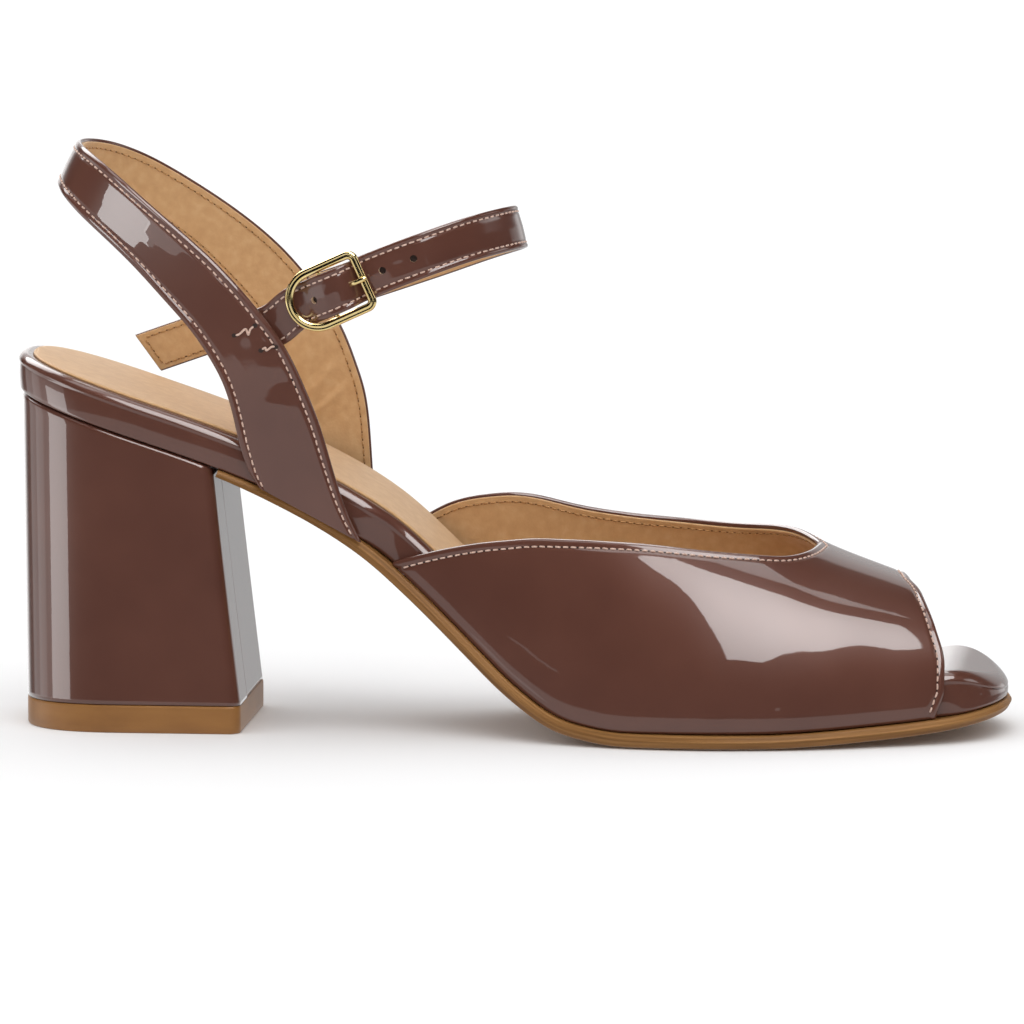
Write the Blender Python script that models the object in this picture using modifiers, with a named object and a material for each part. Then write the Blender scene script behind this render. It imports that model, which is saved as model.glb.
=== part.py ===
"""A right peep toe pump on a block heel, with an open waist, a heel strap and a buckled ankle strap.

Sizes are in millimetres here and become metres in the meshes. +X runs from heel to toe and +Z up.
The outer, buckled side is at -Y. The origin is the middle of the heel's floor face.
"""

import math

import bmesh
import bpy
import numpy as np

MM = 0.001
GAP = 0.3


def table(columns, *rows):
    """Rows of sizes under named columns, as one array for each column."""
    return {name: np.array(values, float) for name, values in zip(columns.split(), zip(*rows))}


# Plan of the sole: the outsole's edge on the outer and the inner side
PLAN = table(
    "x outer inner",
    (-1, 25.8, 25.8),
    (14, 25.6, 25.2),
    (28, 24.6, 23.6),
    (45, 23.4, 21.6),
    (60, 23.8, 20.8),
    (75, 26.8, 22.0),
    (90, 31.6, 25.4),
    (105, 36.8, 30.2),
    (120, 40.6, 34.6),
    (135, 41.8, 37.2),
    (150, 40.4, 37.8),
    (165, 37.0, 36.2),
    (178, 32.0, 32.6),
)
HEEL_TIP = -28.4
TOE_TIP = 205.0
TOE_SWING = 2.4
HEEL_ROUND = 2.5
UPRIGHT_BACK = 24.0
TOE_ROUND = 2.15

# Side view of the sole: the platform's underside, and the thickness of outsole and platform
SIDE = table(
    "x under outsole platform",
    (-29, 79.6, 2.0, 8.6),
    (-3, 70.9, 2.0, 8.6),
    (19, 63.4, 2.0, 8.6),
    (40, 54.4, 2.8, 8.6),
    (55, 45.9, 3.3, 8.6),
    (69, 34.2, 3.4, 8.0),
    (82, 22.0, 3.4, 7.2),
    (92, 12.9, 3.4, 6.6),
    (104, 5.7, 3.4, 6.2),
    (118, 3.7, 3.4, 6.2),
    (148, 3.7, 3.4, 6.4),
    (175, 5.0, 3.4, 8.4),
    (192, 6.4, 3.2, 10.4),
    (206, 8.6, 3.0, 10.0),
)

# How far the platform's side stands in from the sole's edge, and how its upper edge is rounded
RIM = table(
    "x inset run drop",
    (-29, 0.2, 2.4, 2.4),
    (54, 0.2, 2.4, 2.4),
    (58, 3.3, 2.0, 2.0),
    (188, 3.4, 2.0, 2.2),
    (192.5, 3.0, 6.0, 5.0),
    (199, 0.4, 9.0, 6.4),
    (206, 0.0, 10.0, 6.8),
)

# Heel block: its plan at the seat and at the floor
HEEL_TOP = {"back": -27.4, "breast": 19.9, "half_width": 25.2}
HEEL_FOOT = {"back": -26.6, "breast": 26.2, "half_width": 25.0}
HEEL_SQUARE = 2.6
HEEL_CORNER = 3.0
TOP_PIECE = 6.6

# Outsole
OUTSOLE_BACK = 21.4
OUTSOLE_BULGE = 0.4

# Sock on the footbed
SOCK_THICK = 1.0
SOCK_INSET = 2.6
SOCK_FRONT = 182.0

# Vamp: the last's ridge, how square its section is, and the edges of the piece on that surface.
# Round is 0 at the sole's edge and 1 at the ridge.
VAMP_WALL = 1.8
VAMP_INSET = 0.8
VAMP_FOOT = 0.25
LAST = table(
    "x ridge_y ridge_z square",
    (58, 1.0, 93.0, 2.2),
    (85, 2.0, 79.5, 2.25),
    (104, 3.0, 69.0, 2.3),
    (126, 5.0, 58.5, 2.4),
    (144, 6.0, 51.0, 2.5),
    (154, 6.0, 46.4, 2.6),
    (160, 5.0, 43.2, 2.6),
    (181, 3.0, 35.6, 2.6),
    (194, 2.0, 30.5, 2.6),
)
TOPLINE = table(
    "round outer inner",
    (0.0, 61.8, 59.5),
    (0.1, 70.0, 65.5),
    (0.2, 78.5, 72.0),
    (0.3, 88.0, 80.5),
    (0.4, 99.5, 92.0),
    (0.5, 118.5, 119.5),
    (0.6, 141.5, 139.0),
    (0.7, 153.0, 147.3),
    (0.8, 157.2, 152.5),
    (0.9, 159.2, 156.5),
    (1.0, 160.0, 160.0),
)
PEEP = table(
    "round outer inner",
    (0.0, 189.6, 186.2),
    (0.1, 191.5, 185.8),
    (0.25, 191.5, 184.2),
    (0.5, 189.3, 181.4),
    (0.75, 186.3, 180.0),
    (0.9, 184.4, 180.4),
    (1.0, 181.8, 181.8),
)

# Heel strap: its front and back edge on the outer side, from the sole up to the middle of the back,
# how far it stands out there, and how much further forward the inner side lies
STRAP_WALL = 1.9
HEEL_STRAP = table(
    "front_x front_z back_x back_z side forward",
    (55.0, 45.6, 31.0, 58.6, 26.2, -2.0),
    (50.6, 55.6, 28.6, 62.4, 26.6, 1.6),
    (46.0, 72.0, 26.6, 68.6, 27.4, 5.0),
    (42.4, 81.4, 25.4, 74.4, 27.8, 6.0),
    (38.0, 91.0, 23.4, 81.8, 28.2, 6.6),
    (32.6, 98.6, 20.0, 88.6, 28.4, 7.0),
    (26.0, 106.4, 15.0, 95.8, 28.2, 7.4),
    (19.4, 113.0, 8.8, 102.6, 27.6, 7.4),
    (11.8, 119.4, 2.0, 109.8, 26.4, 7.0),
    (4.2, 125.6, -4.6, 115.8, 24.6, 5.6),
    (-3.6, 131.8, -11.2, 121.2, 21.4, 3.4),
    (-9.6, 135.6, -15.8, 124.8, 15.8, 1.4),
    (-13.4, 137.2, -18.6, 126.8, 8.0, 0.4),
    (-14.6, 137.6, -19.6, 127.4, 0.0, 0.0),
)

# Buckle: a D frame on the outer side of the ankle strap, with a bar across its middle
BUCKLE_X = 47.6
BUCKLE_Y = -28.95
BUCKLE_Z = 104.2
BUCKLE_TILT = math.radians(24.5)
BUCKLE_LONG = 20.0
BUCKLE_HIGH = 15.0
BUCKLE_WIRE = 1.8
BUCKLE_CORNER = 1.6
BAR_WIRE = 1.0
BAR_SUNK = 0.7
PRONG_WIRE = 1.2
PRONG = table(
    "along y",
    (0.85, -28.5),
    (3.2, -28.6),
    (5.2, -29.2),
    (7.0, -30.5),
    (8.6, -30.75),
    (10.3, -30.75),
)
PRONG_HOLE = {"start": 3.7, "end": 7.3, "width": 2.0}

# Ankle strap: its middle line from inside the heel strap to the buckle, along the buckle's length
# through the frame, and from there round the ankle to the free tail
ANKLE_WIDTH = 10.3
ANKLE_WALL = 1.5
ANKLE_LEAN = -0.27
BEHIND_BUCKLE = table(
    "x y z",
    (20.0, -24.4, 91.2),
    (28.5, -24.9, 94.2),
    (35.0, -25.3, 96.7),
)
THROUGH_BUCKLE = table(
    "along y",
    (-9.0, -26.8),
    (-5.6, -26.9),
    (-3.0, -28.5),
    (0.0, -30.2),
    (2.6, -30.5),
    (4.8, -30.1),
    (6.7, -28.2),
    (9.1, -26.7),
)
ROUND_ANKLE = table(
    "x y z",
    (63.0, -27.0, 110.9),
    (71.0, -26.2, 113.9),
    (79.5, -21.6, 116.6),
    (86.6, -13.6, 118.0),
    (89.8, -4.4, 118.0),
    (88.0, 5.0, 116.6),
    (79.6, 15.0, 113.2),
    (67.6, 23.0, 108.4),
    (54.0, 28.4, 103.4),
    (42.0, 30.2, 99.2),
    (26.0, 30.2, 93.6),
    (10.0, 29.6, 88.0),
    (-2.0, 29.0, 83.8),
)
TAIL_CUT = 0.3


def smooth(rows, name, x, key="x"):
    """The monotone cubic curve through one column, which stays flat between equal values."""
    keys, values = rows[key], rows[name]
    steps = np.diff(keys)
    slopes = np.diff(values) / steps
    turns = slopes[:-1] * slopes[1:]
    inner = np.where(turns > 0, 2 * turns / np.where(turns > 0, slopes[:-1] + slopes[1:], 1), 0)
    tangents = np.concatenate([slopes[:1], inner, slopes[-1:]])
    x = np.clip(np.asarray(x, float), keys[0], keys[-1])
    at = np.clip(np.searchsorted(keys, x, side="right") - 1, 0, len(steps) - 1)
    t = (x - keys[at]) / steps[at]
    rise = slopes[at] * steps[at]
    start = tangents[at] * steps[at]
    end = tangents[at + 1] * steps[at]
    return values[at] + t * (start + t * (3 * rise - 2 * start - end + t * (start + end - 2 * rise)))


def through(points, count):
    """A smooth open curve through points, sampled evenly in its parameter."""
    points = np.asarray(points, float)
    ends = [2 * points[0] - points[1], *points, 2 * points[-1] - points[-2]]
    padded = np.array(ends)
    t = np.linspace(0, len(points) - 1, count)
    at = np.minimum(t.astype(int), len(points) - 2)
    f = (t - at)[:, None]
    a, b, c, d = (padded[at + k] for k in range(4))
    return 0.5 * (2 * b + (c - a) * f + (2 * a - 5 * b + 4 * c - d) * f**2 + (3 * b - a - 3 * c + d) * f**3)


def stations(start, end, count, round_start=True, round_end=True):
    """Places along x, drawn together where the plan's end is round."""
    t = np.linspace(0, 1, count)
    if round_start and round_end:
        t = 0.5 * (1 - np.cos(math.pi * (0.02 + 0.96 * t)))
        t = 0.45 * t + 0.55 * (t - t[0]) / (t[-1] - t[0])
        t[0], t[-1] = 0, 1
    elif round_end:
        t = 0.5 * t + 0.5 * np.sin(math.pi / 2 * t)
    return start + (end - start) * t


def edge(x, side):
    """Distance from the middle line to the sole's edge, with both ends of the plan rounded."""
    width = smooth(PLAN, side, x)
    heel_start, toe_start = PLAN["x"][0], PLAN["x"][-1]
    back = np.clip((heel_start - x) / (heel_start - HEEL_TIP), 0, 1)
    front = np.clip((x - toe_start) / (TOE_TIP - toe_start), 0, 1)
    lean = (PLAN[side][-1] - PLAN[side][-2]) / (toe_start - PLAN["x"][-2])
    width = width + lean * (x - toe_start) * (front > 0) * (1 - front)
    swing = TOE_SWING if side == "inner" else -TOE_SWING
    width = width + swing * front**2 * 0.5
    return width * (1 - back**HEEL_ROUND) ** (1 / HEEL_ROUND) * (1 - front**TOE_ROUND) ** (1 / TOE_ROUND)


def plan_pairs(x, inset):
    """Plan points on both edges at each x, moved in from the edge by inset along its normal."""
    sides = []
    for side, sign in (("outer", -1), ("inner", 1)):
        rim = np.stack([x, sign * edge(x, side)], 1)
        run = np.gradient(rim, axis=0)
        run /= np.linalg.norm(run, axis=1)[:, None]
        inward = sign * np.stack([run[:, 1], -run[:, 0]], 1)
        sides.append(rim + inward * np.broadcast_to(inset, x.shape)[:, None])
    return sides


def lifted(plan, height):
    """Plan points raised off the platform's underside by height, along the side view's normal."""
    x = plan[:, 0]
    slope = (smooth(SIDE, "under", x + 0.5) - smooth(SIDE, "under", x - 0.5)) / 1.0
    height = np.broadcast_to(height, x.shape) / np.hypot(slope, 1)
    upright = np.clip((x - HEEL_TIP) / UPRIGHT_BACK, 0, 1)
    z = smooth(SIDE, "under", x) + height * (1 + (1 - upright) * slope**2)
    return np.stack([x - slope * upright * height, plan[:, 1], z], 1)


def layered(x, layers, crown=()):
    """Sections across the sole: layers of (inset, height) up the side, then points across the top."""
    outer, inner = [], []
    for inset, height in layers:
        left, right = plan_pairs(x, inset)
        outer.append(lifted(left, height))
        inner.append(lifted(right, height))
    top = [outer[-1] + (inner[-1] - outer[-1]) * share for share, _ in crown]
    for points, (_, rise) in zip(top, crown):
        points[:, 2] += rise
    return np.stack([*outer, *top, *reversed(inner)], 1)


def loft(name, sections, look):
    """A closed body through closed sections, whose ends are filled with strips from side to side."""
    count, around = sections.shape[:2]
    mesh = bmesh.new()
    verts = [[mesh.verts.new(point * MM) for point in section] for section in sections]
    for one, two in zip(verts, verts[1:]):
        for k in range(around):
            after = (k + 1) % around
            mesh.faces.new((one[k], one[after], two[after], two[k]))
    for end in (verts[0], verts[-1]):
        low, high = 0, around - 1
        while high - low > 1:
            strip = [end[low], end[low + 1], end[high - 1], end[high]]
            mesh.faces.new(strip[:2] + strip[3:] if low + 1 == high - 1 else strip)
            low, high = low + 1, high - 1
    bmesh.ops.recalc_face_normals(mesh, faces=mesh.faces)
    return place(name, mesh, look)


def grid(name, points, look):
    """An open surface through a grid of points."""
    mesh = bmesh.new()
    verts = [[mesh.verts.new(point * MM) for point in row] for row in points]
    for one, two in zip(verts, verts[1:]):
        for a, b, c, d in zip(one, one[1:], two[1:], two):
            mesh.faces.new((a, b, c, d))
    return place(name, mesh, look)


def place(name, mesh, look):
    """The bmesh as a smooth-shaded object in the shoe's collection."""
    data = bpy.data.meshes.new(name)
    mesh.to_mesh(data)
    mesh.free()
    data.materials.append(look)
    data.shade_smooth()
    data.set_sharp_from_angle(angle=math.radians(35))
    item = bpy.data.objects.new(name, data)
    bpy.data.collections["peep_toe_pump"].objects.link(item)
    return item


def finish(name, color, roughness, metallic=0.0, coat=0.0):
    """A Principled material."""
    look = bpy.data.materials.new(name)
    look.use_nodes = True
    shader = look.node_tree.nodes["Principled BSDF"]
    shader.inputs["Base Color"].default_value = (*color, 1)
    shader.inputs["Roughness"].default_value = roughness
    shader.inputs["Metallic"].default_value = metallic
    shader.inputs["Coat Weight"].default_value = coat
    return look


def outsole(look):
    """The outsole from the heel's breast to the toe, flat on the floor under the ball."""
    x = stations(OUTSOLE_BACK, TOE_TIP - 0.15, 40, round_start=False)
    thick = smooth(SIDE, "outsole", x)
    layers = [
        (1.2, -GAP - thick),
        (0.35, -GAP - thick * 0.82),
        (-OUTSOLE_BULGE, -GAP - thick * 0.45),
        (0.2, -GAP),
    ]
    return loft("outsole", layered(x, layers), look)


def footbed_stations():
    """Places along x for the platform and its sock, with three more where the vamp begins."""
    return np.sort(np.append(stations(HEEL_TIP + 0.15, TOE_TIP - 0.15, 38), (54.0, 58.0, 62.0)))


def platform(look):
    """The wrapped footbed platform, whose side steps in where the vamp's wall goes round it."""
    x = footbed_stations()
    inset, run, drop = (smooth(RIM, name, x) for name in ("inset", "run", "drop"))
    thick = smooth(SIDE, "platform", x)
    layers = [(inset + 1.0, 0.0), (inset + 0.1, 0.7), (inset, (thick - drop) * 0.6)]
    for turn in (0.0, 0.3, 0.58, 0.8, 1.0):
        angle = turn * math.pi / 2
        layers.append((inset + run * (1 - math.cos(angle)), thick - drop * (1 - math.sin(angle))))
    return loft("footbed_platform", layered(x, layers, ((0.25, 0.0), (0.5, 0.0), (0.75, 0.0))), look)


def sock(look):
    """The thin leather sock on the footbed, which ends inside the vamp."""
    x = footbed_stations()
    x = x[x < SOCK_FRONT]
    inset = np.maximum(smooth(RIM, "inset", x) + SOCK_INSET, 0)
    close = 9.0 * np.clip((x - SOCK_FRONT + 10) / 10, 0, 1) ** 3
    base = smooth(SIDE, "platform", x) + GAP
    layers = [(inset + close, base), (inset + close + 0.2, base + SOCK_THICK * 0.75)]
    layers.append((inset + close + 0.7, base + SOCK_THICK))
    return loft("insole_sock", layered(x, layers, ((0.33, 0.0), (0.67, 0.0))), look)


def heel_plan(level, count=17):
    """One level of the heel: round at the back, flat at the breast with small corners."""
    share = np.linspace(0, 1, count)
    x = level["back"] + (level["breast"] - level["back"]) * np.sin(math.pi / 2 * share) ** 1.6
    x[0] = level["back"] + 0.06
    depth = -level["back"] - 1.0
    back = np.clip((-1.0 - x) / depth, 0, 1)
    width = level["half_width"] * (1 - back**HEEL_SQUARE) ** (1 / HEEL_SQUARE)
    into = np.clip(x - level["breast"] + HEEL_CORNER, 0, HEEL_CORNER)
    width -= HEEL_CORNER - np.sqrt(HEEL_CORNER**2 - into**2)
    return np.concatenate([np.stack([x, -width], 1), np.stack([x, width], 1)[::-1]])


def mix(one, two, share):
    """A level of the heel between two others."""
    return {key: one[key] + (two[key] - one[key]) * share for key in one}


def heel(look):
    """The block heel: its top follows the platform's underside, and its foot is level."""
    rings = []
    for share in (0.0, 0.02, 0.2, 0.4, 0.6, 0.8, 1.0):
        plan = heel_plan(mix(HEEL_TOP, HEEL_FOOT, share))
        seat = smooth(SIDE, "under", plan[:, 0]) - GAP * 1.06
        foot = TOP_PIECE + GAP
        rings.append(np.column_stack([plan, seat + (foot - seat) * share]))
    return loft("heel_block", np.stack(rings), look)


def top_piece(look):
    """The heel's tread piece, whose floor face stands level on the ground."""
    low, high = HEEL_FOOT, {**HEEL_FOOT, "half_width": HEEL_FOOT["half_width"] - 0.05}
    rings = [np.column_stack([heel_plan(low), np.full(34, 0.0)])]
    rings.append(np.column_stack([heel_plan(high), np.full(34, TOP_PIECE)]))
    return loft("heel_top_piece", np.stack(rings), look)


def last_point(x, round_, side):
    """A point on the last, round from the sole's edge (0) up to the ridge (1)."""
    sign = -1 if side == "outer" else 1
    ridge = smooth(LAST, "ridge_y", x)
    reach = edge(x, side) - VAMP_INSET - sign * ridge
    foot = smooth(SIDE, "under", x) + VAMP_FOOT
    power = 2 / smooth(LAST, "square", x)
    angle = round_ * math.pi / 2
    y = ridge + sign * reach * np.maximum(np.cos(angle), 0) ** power
    z = foot + (smooth(LAST, "ridge_z", x) - foot) * np.sin(angle) ** power
    return np.stack([x, y, z], -1)


def vamp(look):
    """The vamp: a wall on the last between its topline and the edge of the peep toe."""
    climb = np.concatenate([np.linspace(0, 0.3, 7), np.linspace(0.37, 1, 9)])
    along = np.linspace(0, 1, 19)
    rows = []
    for side in ("outer", "inner"):
        start = smooth(TOPLINE, side, climb, "round")
        end = smooth(PEEP, side, climb, "round")
        x = start[:, None] + (end - start)[:, None] * along
        rows.append(last_point(x, np.broadcast_to(climb[:, None], x.shape), side))
    item = grid("vamp", np.concatenate([rows[0], rows[1][-2::-1]]), look)
    wall = item.modifiers.new("wall", "SOLIDIFY")
    wall.thickness = VAMP_WALL * MM
    wall.offset = -1
    wall.use_even_offset = True
    return item


def ribbon(name, front, back, wall, look):
    """A strap between two edge lines, with its outer face on them and slightly rounded edges."""
    run = np.gradient((front + back) / 2, axis=0)
    across = front - back
    normal = np.cross(across, run)
    normal /= np.linalg.norm(normal, axis=1)[:, None]
    across /= np.linalg.norm(across, axis=1)[:, None]
    ease = 0.35 * wall
    loop = [
        back + across * ease,
        front - across * ease,
        front - normal * ease,
        front - normal * (wall - ease),
        front - across * ease - normal * wall,
        back + across * ease - normal * wall,
        back - normal * (wall - ease),
        back - normal * ease,
    ]
    return loft(name, np.stack(loop, 1), look)


def heel_strap(look):
    """The strap that rises from both edges of the waist and goes round the back of the heel."""
    rows = HEEL_STRAP
    edges = []
    for name in ("front", "back"):
        outer = np.stack([rows[name + "_x"], -rows["side"], rows[name + "_z"]], 1)
        inner = outer[-2::-1] * (1, -1, 1) + np.outer(rows["forward"][-2::-1], (1, 0, 0))
        edges.append(through(np.concatenate([outer, inner]), 53))
    for end in (0, -1):
        for line in edges:
            line[end, 2] = smooth(SIDE, "under", line[end, 0]) + 0.4
    return ribbon("heel_strap", *edges, STRAP_WALL, look)


def on_buckle(along, across, y):
    """A point in the buckle's own directions: along the strap, across it, and its depth."""
    turn, lift = math.cos(BUCKLE_TILT), math.sin(BUCKLE_TILT)
    return np.array([BUCKLE_X + along * turn - across * lift, y, BUCKLE_Z + along * lift + across * turn])


def ankle_strap(look):
    """The narrow strap from inside the heel strap, through the buckle and round to its tail."""
    route = [*zip(*(BEHIND_BUCKLE[name] for name in "xyz"))]
    route += [on_buckle(along, 0, y) for along, y in zip(THROUGH_BUCKLE["along"], THROUGH_BUCKLE["y"])]
    route += [*zip(*(ROUND_ANKLE[name] for name in "xyz"))]
    middle = through(route, 5 * len(route))
    run = np.gradient(middle, axis=0)
    run /= np.linalg.norm(run, axis=1)[:, None]
    lean = np.array([ANKLE_LEAN, 0, 1.0])
    up = lean - run * (run @ lean)[:, None]
    up /= np.linalg.norm(up, axis=1)[:, None]
    half = up * ANKLE_WIDTH / 2
    front, back = middle + half, middle - half
    front[-1] += run[-1] * ANKLE_WIDTH * TAIL_CUT / 2
    back[-1] -= run[-1] * ANKLE_WIDTH * TAIL_CUT / 2
    outward = np.cross(run, up) * ANKLE_WALL / 2
    item = ribbon("ankle_strap", back + outward, front + outward, ANKLE_WALL, look)
    cut(item, prong_hole(look))
    return item


def prong_hole(look):
    """The block that opens the ankle strap where the prong comes through."""
    start, end = (on_buckle(PRONG_HOLE[name], 0, BUCKLE_Y) for name in ("start", "end"))
    bpy.ops.mesh.primitive_cube_add(size=1, location=(start + end) / 2 * MM)
    block = bpy.context.object
    block.rotation_euler = (0, -BUCKLE_TILT, 0)
    block.scale = (np.linalg.norm(end - start) * MM, 6 * MM, PRONG_HOLE["width"] * MM)
    return tool("prong_hole", block)


def tool(name, item):
    """Put away an object that only cuts or joins another."""
    item.name = name
    for owner in list(item.users_collection):
        owner.objects.unlink(item)
    bpy.data.collections["cutters"].objects.link(item)
    item.hide_render = True
    item.display_type = "WIRE"
    return item


def cut(item, other, operation="DIFFERENCE"):
    """A Boolean of one object by another."""
    change = item.modifiers.new(other.name, "BOOLEAN")
    change.object = other
    change.operation = operation
    change.solver = "EXACT"


def wire(name, points, thick, look, closed=False):
    """A bent wire as a welded mesh, from a curve with a round bevel."""
    curve = bpy.data.curves.new(name, "CURVE")
    curve.dimensions = "3D"
    curve.bevel_depth = thick / 2 * MM
    curve.bevel_resolution = 2
    curve.use_fill_caps = True
    line = curve.splines.new("POLY")
    line.points.add(len(points) - 1)
    line.use_cyclic_u = closed
    for place_, point in zip(line.points, points):
        place_.co = (*(point * MM), 1)
    guide = bpy.data.objects.new(name, curve)
    bpy.context.scene.collection.objects.link(guide)
    bpy.context.view_layer.update()
    shape = bpy.data.meshes.new_from_object(guide.evaluated_get(bpy.context.evaluated_depsgraph_get()))
    bpy.data.objects.remove(guide)
    mesh = bmesh.new()
    mesh.from_mesh(shape)
    bmesh.ops.remove_doubles(mesh, verts=mesh.verts, dist=0.00001)
    bmesh.ops.recalc_face_normals(mesh, faces=mesh.faces)
    bpy.data.meshes.remove(shape)
    return place(name, mesh, look)


def arc(along, across, radius, start, end, count):
    """Points of the buckle's outline on an arc, in degrees."""
    angles = np.radians(np.linspace(start, end, count))
    return [
        on_buckle(along + radius * math.cos(a), across + radius * math.sin(a), BUCKLE_Y) for a in angles
    ]


def buckle(look):
    """The D frame with its middle bar, and the prong that lies from that bar over the front one."""
    high = (BUCKLE_HIGH - BUCKLE_WIRE) / 2
    long = (BUCKLE_LONG - BUCKLE_WIRE) / 2
    corner = BUCKLE_CORNER
    outline = arc(high - long, 0, high, 90, 270, 15)
    outline += arc(long - corner, corner - high, corner, -90, 0, 4)
    outline += arc(long - corner, high - corner, corner, 0, 90, 4)
    frame = wire("buckle_frame", outline, BUCKLE_WIRE, look, closed=True)
    ends = [on_buckle(0, share * high, BUCKLE_Y + BAR_SUNK) for share in (-1, 1)]
    cut(frame, tool("middle_bar", wire("middle_bar", ends, BAR_WIRE, look)), "UNION")
    rest = through([on_buckle(a, 0, y) for a, y in zip(PRONG["along"], PRONG["y"])], 16)
    wire("buckle_prong", rest, PRONG_WIRE, look)


def main():
    for item in list(bpy.data.objects):
        bpy.data.objects.remove(item)
    for name in ("peep_toe_pump", "cutters"):
        bpy.context.scene.collection.children.link(bpy.data.collections.new(name))
    patent = finish("patent leather", (0.115, 0.046, 0.033), 0.12, coat=1.0)
    lining = finish("lining leather", (0.56, 0.32, 0.14), 0.5)
    tan = finish("sole leather", (0.31, 0.14, 0.05), 0.4)
    gold = finish("pale gold", (0.83, 0.66, 0.33), 0.2, metallic=1.0)
    outsole(tan)
    platform(patent)
    sock(lining)
    heel(patent)
    top_piece(tan)
    vamp(patent)
    heel_strap(patent)
    ankle_strap(patent)
    buckle(gold)


main()
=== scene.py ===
import math

import bpy
import numpy as np
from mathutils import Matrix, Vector


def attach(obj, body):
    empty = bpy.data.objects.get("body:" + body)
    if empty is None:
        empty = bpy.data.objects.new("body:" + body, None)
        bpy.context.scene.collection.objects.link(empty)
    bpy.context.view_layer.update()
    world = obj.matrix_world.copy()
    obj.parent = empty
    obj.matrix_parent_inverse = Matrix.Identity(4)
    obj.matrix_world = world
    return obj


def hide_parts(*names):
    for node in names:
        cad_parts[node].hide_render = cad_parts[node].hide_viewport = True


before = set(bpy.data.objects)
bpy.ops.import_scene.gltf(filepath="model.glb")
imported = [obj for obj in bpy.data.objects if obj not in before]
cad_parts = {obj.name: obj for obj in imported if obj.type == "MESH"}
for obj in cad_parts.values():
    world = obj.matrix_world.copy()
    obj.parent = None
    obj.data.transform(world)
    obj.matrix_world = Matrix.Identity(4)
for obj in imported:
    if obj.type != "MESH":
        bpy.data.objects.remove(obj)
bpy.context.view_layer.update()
print("frame loaded")

# Everything below is in millimetres and becomes metres in the meshes. +X is the toe, +Z is up, and the
# outer side with the buckle is at -Y, as in the frame.
mm = 0.001
sides = (("outer", -1), ("inner", 1))


# Curves from short tables

def columns(names, *rows):
    # rows of sizes under named columns, as one array for each column
    return {name: np.array(values, float) for name, values in zip(names.split(), zip(*rows))}


knownCurves = {}


def along(rows, name, x, key="x", ease=2.5):
    # a monotone cubic through one column, then averaged with a bell curve of width ease, so that its
    # bends are soft enough for patent leather to mirror
    if (id(rows), name, ease) not in knownCurves:
        keys, values = rows[key], rows[name]
        steps = np.diff(keys)
        slopes = np.diff(values) / steps
        turns = slopes[:-1] * slopes[1:]
        inner = np.where(turns > 0, 2 * turns / np.where(turns > 0, slopes[:-1] + slopes[1:], 1), 0)
        tangents = np.concatenate([slopes[:1], inner, slopes[-1:]])
        fine = np.linspace(keys[0] - 4 * ease, keys[-1] + 4 * ease, 4000)
        inside = np.clip(fine, keys[0], keys[-1])
        at = np.clip(np.searchsorted(keys, inside, side="right") - 1, 0, len(steps) - 1)
        t = (inside - keys[at]) / steps[at]
        rise, start, end = slopes[at] * steps[at], tangents[at] * steps[at], tangents[at + 1] * steps[at]
        value = values[at] + t * (start + t * (3 * rise - 2 * start - end + t * (start + end - 2 * rise)))
        value += (fine - inside) * np.where(fine < keys[0], tangents[0], tangents[-1])
        reach = int(4 * ease / (fine[1] - fine[0]))
        bell = np.exp(-0.5 * (np.arange(-reach, reach + 1) * (fine[1] - fine[0]) / ease) ** 2)
        knownCurves[id(rows), name, ease] = fine[reach:-reach], np.convolve(value, bell / bell.sum(), "valid")
    fine, value = knownCurves[id(rows), name, ease]
    return np.interp(x, fine, value)


def through(points, count):
    # a Catmull-Rom curve: each span is the cubic whose end slopes join the neighbours
    points = np.asarray(points, float)
    padded = np.array([2 * points[0] - points[1], *points, 2 * points[-1] - points[-2]])
    t = np.linspace(0, len(points) - 1, count)
    at = np.minimum(t.astype(int), len(points) - 2)
    f = (t - at)[:, None]
    a, b, c, d = (padded[at + k] for k in range(4))
    return 0.5 * (2 * b + (c - a) * f + (2 * a - 5 * b + 4 * c - d) * f**2 + (3 * b - a - 3 * c + d) * f**3)


def lengths(points):
    # distance along a line of points
    return np.concatenate([[0], np.cumsum(np.linalg.norm(np.diff(points, axis=0), axis=1))])


def softened(points, spacing, ease):
    # points at one spacing, averaged with a bell curve of width ease, with both ends held
    reach = int(4 * ease / spacing)
    bell = np.exp(-0.5 * (np.arange(-reach, reach + 1) * spacing / ease) ** 2)
    before = 2 * points[0] - points[reach:0:-1]
    after = 2 * points[-1] - points[-2:-reach - 2:-1]
    padded = np.concatenate([before, points, after])
    return np.stack([np.convolve(column, bell / bell.sum(), "valid") for column in padded.T], 1)


def evened(points, spacing, ease):
    # the same line with points at one spacing, softened
    run = lengths(points)
    places = np.linspace(0, run[-1], int(run[-1] / spacing) + 1)
    return softened(np.stack([np.interp(places, run, column) for column in points.T], 1), spacing, ease)


def unit(vectors):
    return vectors / np.linalg.norm(vectors, axis=-1, keepdims=True)


# Meshes from arrays

def placeMesh(name, verts, quads, look, sharp=None, uvs=None):
    mesh = bpy.data.meshes.new(name)
    a, b, c, d = (verts[quads[:, k]] for k in range(4))
    volume = np.sum(a * np.cross(b, c)) + np.sum(a * np.cross(c, d))
    if volume < 0:  # turn the faces outwards
        quads = quads[:, ::-1]
        uvs = None if uvs is None else uvs[:, ::-1]
    mesh.from_pydata((verts * mm).tolist(), [], quads.tolist())
    if uvs is not None:
        layer = mesh.uv_layers.new(name="run")
        layer.data.foreach_set("uv", (uvs * mm).ravel())
    mesh.shade_smooth()
    if sharp:
        mesh.set_sharp_from_angle(angle=math.radians(sharp))
    mesh.materials.append(look)
    item = bpy.data.objects.new(name, mesh)
    bpy.context.scene.collection.objects.link(item)
    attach(item, "root")
    return item


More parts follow.
